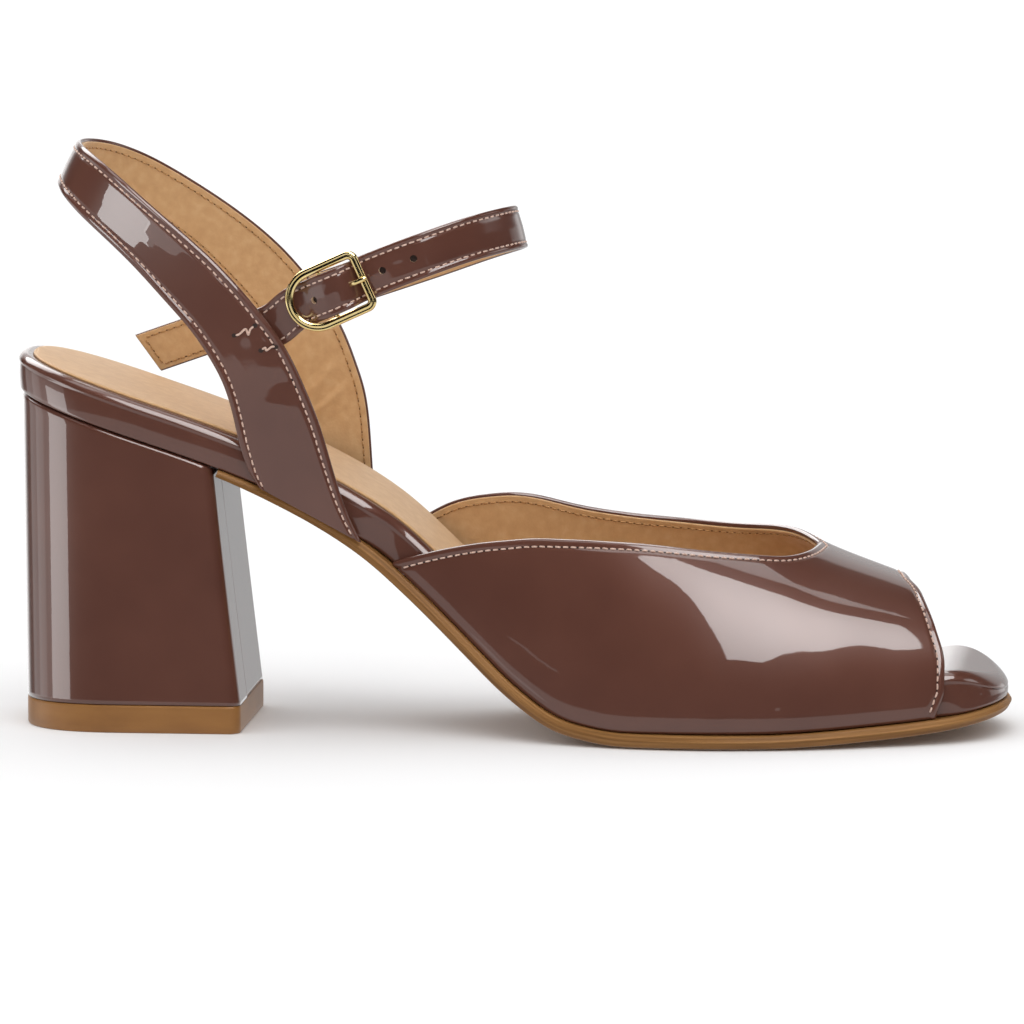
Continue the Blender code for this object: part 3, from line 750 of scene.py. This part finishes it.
def seamRelief(distance):
    # how far the skin stands off the last near an edge: a puffed fold, then the groove of the stitches
    groove = np.exp(-0.5 * ((distance - vampMake["stitchIn"]) / vampMake["grooveWide"]) ** 2)
    puff = np.exp(-0.5 * ((distance - 1.0) / 0.5) ** 2)
    return vampMake["puff"] * puff - vampMake["grooveDepth"] * groove


def offLast(x, u):
    # points on the last and the unit directions that point out of it, away from a place inside
    dx, du = slopesAt(x, u)
    point = lastSurface(x, u)
    normal = unit(np.cross(du, dx))
    return point, normal * np.sign(np.sum(normal * (point - np.array([130, 0, 10])), -1))[:, None]


def vampSections(seamed, rollFrom, start, innerOffset, edgeIn, rollWall):
    # for each u a closed loop: out over the face from topline to peep, round the fold, and back inside.
    # Start and innerOffset are how far the two faces stand off the last
    roll = np.linspace(0, math.pi / 2, 7)[:-1]
    rolled = edgeIn + rollFrom * (1 - np.cos(roll))
    rolledOff = -rollWall / 2 * (1 - np.sin(roll))
    near = np.concatenate([rolled, edgeIn + np.linspace(rollFrom, vampMake["border"] - edgeIn, 22)])
    nearOff = np.concatenate([rolledOff, np.zeros(22)])
    places = [(vampPlace(toplineShift, d), off, d) for d, off in zip(near, nearOff)]
    startX, startU = vampPlace(toplineShift, vampMake["border"])
    endX, endU = vampPlace(peepShift, vampMake["border"])
    places += [((startX + (endX - startX) * w, startU + (endU - startU) * w), 0.0, 99.0)
               for w in np.linspace(0, 1, 92)[1:-1]]
    places += [(vampPlace(peepShift, d), off, d) for d, off in zip(near[::-1], nearOff[::-1])]
    outside, inside = [], []
    for (x, u), off, distance in places:
        point, normal = offLast(x, u)
        relief = seamRelief(distance) if seamed and off == 0 else 0.0
        outside.append(point + normal * (start + (off + relief)))
        inside.append(point + normal * (innerOffset - off))
    return np.stack(outside + inside[::-1], 1)


def makeVamp():
    skin = vampMake["skin"]
    body = vampSections(True, vampMake["roll"], 0.0, -skin, 0.0, skin)
    item = loft("vampLeather", body, brownPatent)
    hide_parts("vamp")
    thin = vampMake["wall"] - skin
    inner = vampSections(False, 0.3, -skin + 0.05, -vampMake["wall"] - 0.02, 0.62, thin)
    cloth = loft("vampLining", inner, tanLining)
    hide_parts("vamp")


def vampRow(shift, offset, distance):
    # a stitch row on the vamp at a distance from an edge, with the surface's normals
    x, u = vampPlace(shift, distance)
    keep = (u > 0.004) & (u < 1.996)
    point, normal = offLast(x[keep], u[keep])
    return point + normal * offset, normal


def makeVampStitches():
    made = []
    for offset, turn in ((-vampMake["grooveDepth"] + 0.02, 1), (-vampMake["wall"] - 0.03, -1)):
        rows = [vampRow(shift, offset, vampMake["stitchIn"]) for shift in (toplineShift, peepShift)]
        made.append([stitchRow(path, normals * turn, start=0.8, end=0.8) for path, normals in rows])
    sew("vamp", *made)


makeVamp()
makeVampStitches()
print("vamp made")


# Straps: a skin folded over both edges, and a lining on its inner face

def strapFrame(front, back):
    # unit directions on a strap between two edge lines: along it, from back to front, and outwards
    run = unit(np.gradient((front + back) / 2, axis=0))
    across = unit(front - back)
    return run, across, unit(np.cross(across, run))


def hollows(rows, place, distance):
    # soft troughs and ridges: each a bell along and across the strap, turned by its slant
    total = np.zeros(len(place))
    for at, across, longReach, wideReach, deep, slant in rows:
        a, c = place - at, distance - across
        a, c = a + slant * c, c - slant * a
        total += deep * np.exp(-0.5 * (a / longReach) ** 2 - 0.5 * (c / wideReach) ** 2)
    return total


def strapSections(front, back, top, bottom, edgeIn, roll, middle, relief=None, dents=(), folds=()):
    # for each place along the strap a closed loop: over the outer face from the back edge to the front
    # edge and back over the inner face. Top and bottom are distances off the outer face
    run, across, normal = strapFrame(front, back)
    width = np.linalg.norm(front - back, axis=1)
    turn = np.linspace(0, math.pi / 2, 6)[:-1]
    half = (top - bottom) / 2
    rolled = [(edgeIn + roll * (1 - math.cos(a)), -half * (1 - math.sin(a))) for a in turn]
    border = [(d, 0.0) for d in np.linspace(edgeIn + roll, edgeIn + 3.3, 19)]
    near = rolled + border
    stations = [(np.full(len(width), d), off) for d, off in near]
    low, high = near[-1][0], width - near[-1][0]
    stations += [(low + (high - low) * w, 0.0) for w in np.linspace(0, 1, middle)[1:-1]]
    stations += [(width - d, off) for d, off in near[::-1]]
    place = lengths((front + back) / 2)
    outside, inside = [], []
    for distance, off in stations:
        point = back + across * distance[:, None]
        edge = np.minimum(distance, width - distance)
        raised = np.zeros(len(width)) if relief is None or off else relief(edge)
        raised = raised + hollows(dents, place, distance)
        outside.append(point + normal * (top + off + raised)[:, None])
        inside.append(point + normal * (bottom - off - hollows(folds, place, distance))[:, None])
    return np.stack(outside + inside[::-1], 1)


strapEdge = {
    "puff": 0.09, "puffWide": 0.45, "groove": 0.15, "grooveWide": 0.36, "swell": 0.12, "swellWide": 4,
    "sunk": -0.18, "liningSunk": -0.02,
}


def strapRelief(stitchIn):
    # a puffed fold, the stitch groove, and a faint swell of the leather between the two rows
    def shape(edge):
        groove = np.exp(-0.5 * ((edge - stitchIn) / strapEdge["grooveWide"]) ** 2)
        puff = np.exp(-0.5 * ((edge - stitchIn * 0.5) / strapEdge["puffWide"]) ** 2)
        swell = strapEdge["swell"] * np.clip((edge - stitchIn) / strapEdge["swellWide"], 0, 1)
        return strapEdge["puff"] * puff - strapEdge["groove"] * groove + swell
    return shape


def strapRow(front, back, edge, distance, offset):
    # a stitch row at a distance from one edge, with its outward normals
    run, across, normal = strapFrame(front, back)
    base = back + across * distance if edge == "back" else front - across * distance
    return base + normal * offset, normal


def strapRows(front, back, make, end):
    # the rows along both edges, on the outer face and on the lining
    made = []
    for offset, turn in ((strapEdge["sunk"], 1), (-make["wall"] + strapEdge["liningSunk"], -1)):
        rows = [strapRow(front, back, edge, make["stitchIn"], offset) for edge in ("front", "back")]
        made.append([stitchRow(path, normals * turn, start=1.0, end=end) for path, normals in rows])
    return made


heelStrapMake = {"wall": 1.9, "skin": 1.45, "stitchIn": 1.9, "roll": 0.7, "ease": 2.4, "spacing": 0.7}
heelStrapRows = columns(
    "frontX frontZ backX backZ side forward",
    (55.0, 45.6, 31.0, 58.6, 26.2, -2.0), (50.6, 55.6, 28.6, 62.4, 26.6, 1.6),
    (46.0, 72.0, 26.6, 68.6, 27.4, 5.0), (42.4, 81.4, 25.4, 74.4, 27.8, 6.0),
    (38.0, 91.0, 23.4, 81.8, 28.2, 6.6), (32.6, 98.6, 20.0, 88.6, 28.4, 7.0),
    (26.0, 106.4, 15.0, 95.8, 28.2, 7.4), (19.4, 113.0, 8.8, 102.6, 27.6, 7.4),
    (11.8, 119.4, 2.0, 109.8, 26.4, 7.0), (4.2, 125.6, -4.6, 115.8, 24.6, 5.6),
    (-3.6, 131.8, -11.2, 121.2, 21.4, 3.4), (-9.6, 135.6, -15.8, 124.8, 15.8, 1.4),
    (-13.4, 137.2, -18.6, 126.8, 8.0, 0.4), (-14.6, 137.6, -19.6, 127.4, 0.0, 0.0),
)


def heelStrapEdges():
    # both edge lines, from the sole up the outer side, round the back and down the inner side
    rows = heelStrapRows
    pair = []
    for name in ("front", "back"):
        outer = np.stack([rows[name + "X"], -rows["side"], rows[name + "Z"]], 1)
        inner = outer[-2::-1] * (1, -1, 1) + np.outer(rows["forward"][-2::-1], (1, 0, 0))
        line = through(np.concatenate([outer, inner]), 53)
        for end in (0, -1):
            line[end, 2] = along(sideView, "under", line[end, 0]) - 0.05
        pair.append(through(line, 1200))
    spacing = heelStrapMake["spacing"]
    count = int(lengths((pair[0] + pair[1]) / 2)[-1] / spacing)
    at = np.linspace(0, 1199, count)
    pair = [np.stack([np.interp(at, np.arange(1200), column) for column in line.T], 1) for line in pair]
    return [softened(line, spacing, heelStrapMake["ease"]) for line in pair]


def wireLoop(name, path, forward, profile, look, closed):
    # a profile of (sideways, forward) points carried along a path
    step = (np.roll(path, -1, 0) - np.roll(path, 1, 0)) if closed else np.gradient(path, axis=0)
    run = unit(step)
    side = unit(np.cross(run, forward))
    sections = path[:, None] + side[:, None] * profile[..., :1] + forward * profile[..., 1:]
    return loft(name, sections, look, closed=closed)


# places on the heel strap are millimetres from its outer end, and across from its back edge
heelDents = (
    (40.0, 13.5, 1.6, 1.2, -0.16, 0.5), (44.5, 10.5, 1.3, 1.6, 0.10, -0.4), (36.0, 11.0, 2.2, 1.4, 0.10, 0.6),
    (31.0, 14.0, 1.2, 3.0, -0.10, 0.3), (27.0, 11.0, 1.0, 2.6, 0.07, 0.5), (52.0, 9.0, 2.5, 1.2, -0.07, 0.2),
)
heelFolds = (
    (-19.0, 9.0, 0.7, 6.0, 0.45, 0.55), (-21.5, 11.0, 0.8, 5.0, -0.35, 0.5), (-24.5, 8.0, 0.9, 6.0, 0.38, 0.45),
    (-28.0, 10.0, 1.0, 5.0, -0.25, 0.4), (-33.0, 8.5, 1.4, 6.0, 0.22, 0.3), (-14.5, 10.0, 0.8, 5.0, -0.3, 0.6),
)
tackRoutes = (
    ((25.2, 94.6), (26.7, 94.9), (28.3, 96.2), (28.8, 94.7), (29.6, 95.9), (31.0, 96.9)),
    ((31.6, 90.7), (32.7, 91.7), (33.3, 90.8), (34.4, 91.9), (35.5, 91.8)),
)


tackMake = {"thread": 0.25, "lift": 0.26, "sunk": 0.35, "wide": 0.60, "high": 0.50, "proud": 0.38, "deep": 0.1}


def tackPath(front, back, route):
    # the route's points on the outer face of the strap's outer side: the nearest of a grid in side view
    run, across, normal = strapFrame(front, back)
    share = np.linspace(0.05, 0.95, 60)[:, None, None]
    half = len(front) // 2
    face = (back[:half] * (1 - share) + front[:half] * share).reshape(-1, 3)
    ways = np.broadcast_to(normal[:half], (60, half, 3)).reshape(-1, 3)
    picked = [np.argmin(np.linalg.norm(face[:, ::2] - spot, axis=1)) for spot in route]
    points, ways = face[picked], ways[picked]
    lift = np.full(len(picked), tackMake["lift"])
    lift[[0, -1]] = -tackMake["sunk"]
    return through(points + ways * lift[:, None], 40), ways


def makeTacks(front, back):
    # loose crossing threads that hold the ankle strap where it passes behind this strap, and the
    # dimples where each goes in, dark with painted shade
    angle = np.linspace(0, 2 * math.pi, 8, endpoint=False)
    circle = np.stack([np.cos(angle), np.sin(angle)], 1) * tackMake["thread"]
    for k, route in enumerate(tackRoutes):
        path, ways = tackPath(front, back, route)
        way = ways[1]
        item = wireLoop(f"barTack{k + 1}", path, way, circle, creamThread, False)
        for n, end in enumerate((path[2], path[-3])):
            # each end gets a dark disc of painted shade
            ring = ringAround(end, way, 16, tackMake["wide"], tackMake["high"])
            rings = np.stack([ring + way * tackMake["proud"], ring - way * tackMake["deep"]])
            hole = loft(f"barTack{k + 1}Hole{n + 1}", rings, needleShadow, sharp=40)


def makeHeelStrap():
    front, back = heelStrapEdges()
    make = heelStrapMake
    total = lengths((front + back) / 2)[-1]
    folds = [(total + at, *rest) for at, *rest in heelFolds]
    relief = strapRelief(make["stitchIn"])
    skin = strapSections(front, back, 0.0, -make["skin"], 0.0, make["roll"], 24, relief, heelDents)
    item = loft("heelStrapLeather", skin, brownPatent)
    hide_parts("heel_strap")
    inner = strapSections(front, back, -make["skin"] + 0.05, -make["wall"], 0.42, 0.18, 24, folds=folds)
    cloth = loft("heelStrapLining", inner, tanSock)
    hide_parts("heel_strap")
    sew("heelStrap", *strapRows(front, back, make, 1.0))
    return front, back


makeTacks(*makeHeelStrap())
print("heel strap made")


# Ankle strap and buckle

buckleMake = {
    "x": 47.6, "y": -28.95, "z": 104.2, "tilt": math.radians(24.5), "long": 20.0, "high": 15.0,
    "wire": 1.8, "corner": 1.6, "bar": 1.0, "barSunk": 0.7, "prong": 1.2,
}
prongRoute = ((0.85, -28.5), (3.2, -28.6), (5.2, -29.2), (7.0, -30.5), (8.6, -30.75), (10.3, -30.75))
ankleMake = {
    "width": 10.3, "wall": 1.5, "skin": 1.1, "stitchIn": 1.45, "roll": 0.5, "lean": -0.27,
    "tailCut": 0.3, "spacing": 0.55, "ease": 1.1,
}
behindBuckle = ((20.0, -24.4, 91.2), (28.5, -24.9, 94.2), (35.0, -25.3, 96.7))
throughBuckle = ((-9.0, -26.8), (-5.6, -26.9), (-3.0, -28.5), (0.0, -30.2), (2.6, -30.5), (4.8, -30.1),
                 (6.7, -28.2), (9.1, -26.7))
roundAnkle = (
    (63.0, -27.0, 110.9), (71.0, -26.2, 113.9), (79.5, -21.6, 116.6), (86.6, -13.6, 118.0),
    (89.8, -4.4, 118.0), (88.0, 5.0, 116.6), (79.6, 15.0, 113.2), (67.6, 23.0, 108.4),
    (54.0, 28.4, 103.4), (42.0, 30.2, 99.2), (26.0, 30.2, 93.6), (10.0, 29.6, 88.0), (-2.0, 29.0, 83.8),
)


def onBuckle(alongIt, acrossIt, y):
    # a point in the buckle's own directions
    turn, lift = math.cos(buckleMake["tilt"]), math.sin(buckleMake["tilt"])
    x = buckleMake["x"] + alongIt * turn - acrossIt * lift
    return np.array([x, y, buckleMake["z"] + alongIt * lift + acrossIt * turn])


def ankleEdges():
    # the middle line through its route, then half the width to either side, square to the line
    route = [*behindBuckle, *(onBuckle(a, 0, y) for a, y in throughBuckle), *roundAnkle]
    middle = evened(through(route, 2400), ankleMake["spacing"], ankleMake["ease"])
    run = unit(np.gradient(middle, axis=0))
    lean = np.array([ankleMake["lean"], 0, 1.0])
    up = unit(lean - run * (run @ lean)[:, None])
    half = up * ankleMake["width"] / 2
    front, back = middle - half, middle + half
    slide = np.exp(-np.arange(len(middle))[::-1] * ankleMake["spacing"] / 3.0)[:, None]
    cut = run[-1] * ankleMake["width"] * ankleMake["tailCut"] / 2
    out = np.cross(run, up) * ankleMake["wall"] / 2
    return front - cut * slide + out, back + cut * slide + out


# the punched holes' size, and the dark discs of painted shade inside them: floor gives the discs' depths
punch = {"radius": 0.85, "reach": 4.0, "shadeDiscRadius": 0.84, "floor": (0.75, 1.0)}
punchPlaces = np.array([(60.8, 108.5), (68.2, 111.3), (44.7, 102.6)])
# places along the strap from the third hole, and across from its back edge
ankleWaves = ((3.4, 6.4, 0.8, 1.6, 0.10), (5.2, 7.4, 0.6, 1.3, -0.09), (7.6, 5.0, 1.2, 2.0, 0.06),
              (25.0, 5.0, 2.2, 3.0, -0.10), (31.0, 5.4, 1.8, 3.0, 0.08), (37.0, 4.8, 2.0, 3.0, -0.07))


def makeAnkleStrap():
    front, back = ankleEdges()
    make = ankleMake
    relief = strapRelief(make["stitchIn"])
    middle = (front + back) / 2
    run, across, normal = strapFrame(front, back)
    punched = [np.argmin(np.linalg.norm(middle[:, ::2] - spot, axis=1)) for spot in punchPlaces]
    place = lengths(middle)
    dents = [((place[punched[0]] + place[punched[1]]) / 2, make["width"] / 2, 1.0, 0.45, -0.12, 0.0)]
    dents += [(place[punched[2]] + at, *rest, 0.1) for at, *rest in ankleWaves]
    skin = strapSections(front, back, 0.0, -make["skin"], 0.0, make["roll"], 14, relief, dents)
    item = loft("ankleStrapLeather", skin, brownPatent)
    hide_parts("ankle_strap")
    inner = strapSections(front, back, -make["skin"] + 0.05, -make["wall"], 0.34, 0.16, 12)
    cloth = loft("ankleStrapLining", inner, tanLining)
    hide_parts("ankle_strap")
    centres, ways = middle[punched], normal[punched]
    cutHoles(item, centres, ways, punch["radius"], punch["reach"], cutEdge)
    # a dark disc of painted shade sits inside each punched hole, over the uncut lining
    for k, (centre, way) in enumerate(zip(centres, ways)):
        ring = ringAround(centre, way, 24, punch["shadeDiscRadius"], punch["shadeDiscRadius"])
        rings = np.stack([ring - way * depth for depth in punch["floor"]])
        shadeDisc = loft(f"ankleStrapHole{k + 1}", rings, needleShadow, sharp=40)
    outer, inside = strapRows(front, back, make, 1.6)
    # a row across the cut tail
    for rows, offset, turn in ((outer, -0.13, 1), (inside, -make["wall"] + strapEdge["liningSunk"], -1)):
        ends = [side - run[-1] * 1.5 + across[-1] * 1.6 * way for side, way in ((front[-1], -1), (back[-1], 1))]
        line = np.linspace(ends[0], ends[1], 20) + normal[-1] * offset
        rows.append(stitchRow(line, np.tile(normal[-1] * turn, (20, 1))))
    sew("ankleStrap", outer, inside)


makeAnkleStrap()
print("ankle strap made")


# half sizes of the wire's flattened section, and the fine groove in its face
wireFace = {"square": 2.5, "wide": 1.02, "deep": 0.88, "groove": 0.16, "grooveAt": 0.15, "grooveWide": 0.2}


def makeBuckle():
    # the frame is a D outline, carried round by a flattened wire with a fine groove in its face
    high = (buckleMake["high"] - buckleMake["wire"]) / 2
    long = (buckleMake["long"] - buckleMake["wire"]) / 2
    corner = buckleMake["corner"]
    y = buckleMake["y"]

    def arc(a, c, radius, start, end, count):
        angles = np.radians(np.linspace(start, end, count))
        return [onBuckle(a + radius * math.cos(t), c + radius * math.sin(t), y) for t in angles]

    outline = arc(high - long, 0, high, 90, 270, 60)
    outline += [onBuckle(a, -high, y) for a in np.linspace(high - long, long - corner, 24)[1:-1]]
    outline += arc(long - corner, corner - high, corner, -90, 0, 14)
    outline += [onBuckle(long, c, y) for c in np.linspace(corner - high, high - corner, 24)[1:-1]]
    outline += arc(long - corner, high - corner, corner, 0, 90, 14)
    outline += [onBuckle(a, high, y) for a in np.linspace(long - corner, high - long, 24)[1:-1]]
    outline = np.array(outline)
    angle = np.linspace(0, 2 * math.pi, 40, endpoint=False)
    power = 2 / wireFace["square"]
    wide = np.sign(np.cos(angle)) * np.abs(np.cos(angle)) ** power * wireFace["wide"]
    deep = np.sign(np.sin(angle)) * np.abs(np.sin(angle)) ** power * wireFace["deep"]
    groove = np.exp(-0.5 * ((wide - wireFace["grooveAt"]) / wireFace["grooveWide"]) ** 2) * (deep > 0)
    profile = np.stack([wide, deep - wireFace["groove"] * groove], 1)
    facing = np.array([0, -1.0, 0])
    frameItem = wireLoop("buckleFrame", outline, facing, profile, paleGold, True)
    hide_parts("buckle_frame")
    circle = np.stack([np.cos(angle), np.sin(angle)], 1)
    barY = y + buckleMake["barSunk"]
    ends = np.linspace(onBuckle(0, -high, barY), onBuckle(0, high, barY), 12)
    bar = wireLoop("buckleBar", ends, facing, circle * buckleMake["bar"] / 2, paleGold, False)
    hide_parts("buckle_frame")
    path = through([onBuckle(a, 0, depth) for a, depth in prongRoute], 60)
    taper = np.concatenate([np.ones(50), np.sqrt(1 - np.linspace(0.03, 0.98, 10) ** 2)])[:, None, None]
    sizes = circle[None] * taper * buckleMake["prong"] / 2
    prong = wireLoop("buckleProng", path, facing, sizes, paleGold, False)
    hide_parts("buckle_prong")


makeBuckle()
print("buckle made")


# Camera, light and floor. Wide suns give the soft light and the shadows. What the patent leather mirrors
# is drawn on a dome in the world: each card is a leaning rectangle seen in a direction from the shoe

camera = {"azimuth": 5.5, "elevation": 7.1, "distance": 2500.0, "target": (87.9, 0.0, 50.2), "lens": 373.54}
studio = {
    "floor": 9.0, "floorColor": (0.94, 0.94, 0.945), "ambient": 0.86, "backdrop": 1.0,
    "dimRoom": 0.005, "floorGlow": 0.85, "floorStart": -0.150, "floorFull": -0.172,
    "backGlow": 0.56, "backStart": -0.72, "backFull": -0.86, "backTop": 0.46,
    "cornerWay": (0.56, 0.83), "hotReach": 1.15,
}
suns = columns(
    "azimuth elevation spread power",
    (12, 60, 40, 0.60),
    (-60, 42, 48, 0.26),
    (175, 60, 50, 0.20),
)
nearCards = columns(
    "x y z azimuth elevation distance wide high glow",
    (15, -25, 125, -36, 16, 0.30, 0.145, 0.13, 8.0),
    (15, -25, 125, -16.5, 16, 0.32, 0.070, 0.13, 1.5),
    (-20, -22, 40, -62, -7, 0.11, 0.062, 0.12, 3.9),
)
cards = columns(
    "azimuth elevation halfWide halfHigh edge lean corner foot glow hot",
    (33, 44.5, 0.36, 0.48, 0.008, 0.25, 0.203, 0.422, 9.6, 0.32),
    (50, 85, 0.50, 0.17, 0.012, 0.0, 9.0, 9.0, 3.0, 0.2),
    (-78, -2, 0.56, 0.30, 0.02, 0.12, 9.0, 9.0, 0.75, 0.1),
    (-108, -4, 0.34, 0.22, 0.05, 0.0, 9.0, 9.0, 0.7, 0.1),
    (-163, 4, 0.26, 0.24, 0.06, 0.0, 9.0, 9.0, 0.9, 0.2),
    (140, 2, 0.34, 0.10, 0.04, 0.0, 9.0, 9.0, 0.8, 0.2),
    (-148, 52, 0.45, 0.42, 0.03, 0.0, 9.0, 9.0, 7.0, 0.5),
    (100, 24, 0.22, 0.16, 0.05, 0.0, 9.0, 9.0, 2.6, 0.5),
)
# the pieces that each near card lights, so that it leaves no streak on the others
nearTargets = (("heelStrapLeather",), ("heelStrapLeather",), ("heelCover", "platformCover"))


def fromAngles(azimuth, elevation):
    # the direction from the shoe out to a camera or light: azimuth 0 is the side of the buckle
    a, e = math.radians(azimuth), math.radians(elevation)
    return np.array([math.sin(a) * math.cos(e), -math.cos(a) * math.cos(e), math.sin(e)])


def aim(item, place, target):
    # put an object at a place and turn it to face a target
    item.location = place
    item.rotation_euler = Vector(np.array(target) - np.array(place)).to_track_quat("-Z", "Y").to_euler()
    bpy.context.scene.collection.objects.link(item)


class Graph:
    # short ways to join the world's nodes
    def __init__(self, tree):
        self.nodes, self.links = tree.nodes, tree.links

    def put(self, socket, value):
        if isinstance(value, bpy.types.NodeSocket):
            self.links.new(value, socket)
        else:
            socket.default_value = value

    def sum(self, kind, *values, clamp=False):
        node = self.nodes.new("ShaderNodeMath")
        node.operation, node.use_clamp = kind, clamp
        for socket, value in zip(node.inputs, values):
            self.put(socket, value)
        return node.outputs[0]

    def dot(self, vector, direction):
        node = self.nodes.new("ShaderNodeVectorMath")
        node.operation = "DOT_PRODUCT"
        self.links.new(vector, node.inputs[0])
        node.inputs[1].default_value = direction
        return node.outputs["Value"]

    def fade(self, value, start, end, low=0.0, high=1.0):
        # a soft step from low at start to high at end
        node = self.nodes.new("ShaderNodeMapRange")
        node.interpolation_type = "SMOOTHSTEP"
        for socket, number in zip(node.inputs, (value, start, end, low, high)):
            self.put(socket, number)
        return node.outputs["Result"]

    def mix(self, factor, one, two):
        node = self.nodes.new("ShaderNodeMix")
        for name, value in (("Factor", factor), ("A", one), ("B", two)):
            self.put(node.inputs[name], value)
        return node.outputs["Result"]


def drawCard(graph, way, azimuth, elevation, halfWide, halfHigh, edge, lean, corner, foot, glow, hot):
    # a leaning rectangle in the plane across its own direction, its upper right and lower left corners cut
    # off at two distances from the middle, brighter by hot in its middle
    forward = fromAngles(azimuth, elevation)
    a = math.radians(azimuth)
    right = np.array([math.cos(a), math.sin(a), 0])
    up = np.cross(right, forward)
    depth = graph.sum("MAXIMUM", graph.dot(way, forward), 0.05)
    across = graph.sum("DIVIDE", graph.sum("ABSOLUTE", graph.dot(way, right + lean * up)), depth)
    high = graph.sum("DIVIDE", graph.sum("ABSOLUTE", graph.dot(way, up)), depth)
    inside = graph.sum("MULTIPLY", graph.fade(across, halfWide + edge, halfWide - edge),
                       graph.fade(high, halfHigh + edge, halfHigh - edge))
    sideways, upwards = studio["cornerWay"]
    cut = graph.sum("DIVIDE", graph.dot(way, sideways * right + upwards * up), depth)
    inside = graph.sum("MULTIPLY", inside, graph.fade(cut, corner + edge, corner - edge))
    inside = graph.sum("MULTIPLY", inside, graph.fade(cut, -foot - edge, -foot + edge))
    offMiddle = [graph.fade(value, 0, half * studio["hotReach"]) for value, half in ((across, halfWide),
                                                                                      (high, halfHigh))]
    away, far = graph.sum("MULTIPLY", *offMiddle), graph.sum("MAXIMUM", *offMiddle)
    shade = graph.sum("SUBTRACT", 1.0, graph.sum("MULTIPLY", graph.sum("ADD", away, far), hot / 2))
    return graph.sum("MULTIPLY", graph.sum("MULTIPLY", inside, shade), glow)


def makeWorld():
    world = bpy.data.worlds.new("studio")
    world.use_nodes = True
    graph = Graph(world.node_tree)
    way = graph.nodes.new("ShaderNodeTexCoord").outputs["Generated"]
    high, behind = graph.dot(way, (0, 0, 1)), graph.dot(way, (0, -1, 0))
    below = graph.fade(high, studio["floorStart"], studio["floorFull"], studio["dimRoom"], studio["floorGlow"])
    back = graph.fade(behind, studio["backStart"], studio["backFull"])
    back = graph.sum("MULTIPLY", back, graph.fade(high, studio["backTop"] + 0.04, studio["backTop"] - 0.04))
    light = graph.sum("MAXIMUM", below, graph.sum("MULTIPLY", back, studio["backGlow"]))
    for card in zip(*cards.values()):
        light = graph.sum("ADD", light, drawCard(graph, way, *card))
    path = graph.nodes.new("ShaderNodeLightPath").outputs
    light = graph.mix(path["Is Glossy Ray"], studio["ambient"], light)
    light = graph.mix(path["Is Camera Ray"], light, studio["backdrop"])
    background = graph.nodes["Background"]
    background.inputs["Color"].default_value = (1, 1, 1, 1)
    graph.links.new(light, background.inputs["Strength"])
    return world


def makeStudio():
    scene = bpy.context.scene
    data = bpy.data.cameras.new("camera")
    data.sensor_width, data.lens = 36.0, camera["lens"]
    data.clip_start, data.clip_end = 0.05, 40
    eye = bpy.data.objects.new("camera", data)
    target = np.array(camera["target"]) * mm
    aim(eye, target + fromAngles(camera["azimuth"], camera["elevation"]) * camera["distance"] * mm, target)
    scene.camera = eye
    for k, (azimuth, elevation, spread, power) in enumerate(zip(*suns.values())):
        lamp = bpy.data.lights.new(f"softLight{k}", "SUN")
        lamp.angle, lamp.energy = math.radians(spread), power
        item = bpy.data.objects.new(f"softLight{k}", lamp)
        aim(item, target + fromAngles(azimuth, elevation), target)
        item.visible_glossy = False
    # small cards near the strap and the heel, which only the shoe's gloss sees
    for k, (x, y, z, azimuth, elevation, distance, wide, high, glow) in enumerate(zip(*nearCards.values())):
        lamp = bpy.data.lights.new(f"nearCard{k}", "AREA")
        lamp.shape, lamp.size, lamp.size_y = "RECTANGLE", wide, high
        lamp.energy = glow * math.pi * wide * high
        item = bpy.data.objects.new(f"nearCard{k}", lamp)
        near = np.array([x, y, z]) * mm
        aim(item, near + fromAngles(azimuth, elevation) * distance, near)
        item.visible_camera = item.visible_diffuse = False
        group = bpy.data.collections.new(f"lit by near card {k}")
        for name in nearTargets[k]:
            group.objects.link(bpy.data.objects[name])
        item.light_linking.receiver_collection = group
    scene.world = makeWorld()
    scene.view_settings.view_transform = "Standard"
    half = studio["floor"] / 2
    mesh = bpy.data.meshes.new("floor")
    corners = [(-half, -half, 0), (half, -half, 0), (half, half, 0), (-half, half, 0)]
    mesh.from_pydata(corners, [], [(0, 1, 2, 3)])
    look, nodes, links, shader = newLook("pale floor")
    setSockets(shader, {"Base Color": (*studio["floorColor"], 1), "Roughness": 1.0, "Specular IOR Level": 0.0})
    mesh.materials.append(look)
    ground = bpy.data.objects.new("floor", mesh)
    ground.visible_glossy = False  # the dome has its own floor, so that no edge of this one is mirrored
    scene.collection.objects.link(ground)


makeStudio()
print("studio made")
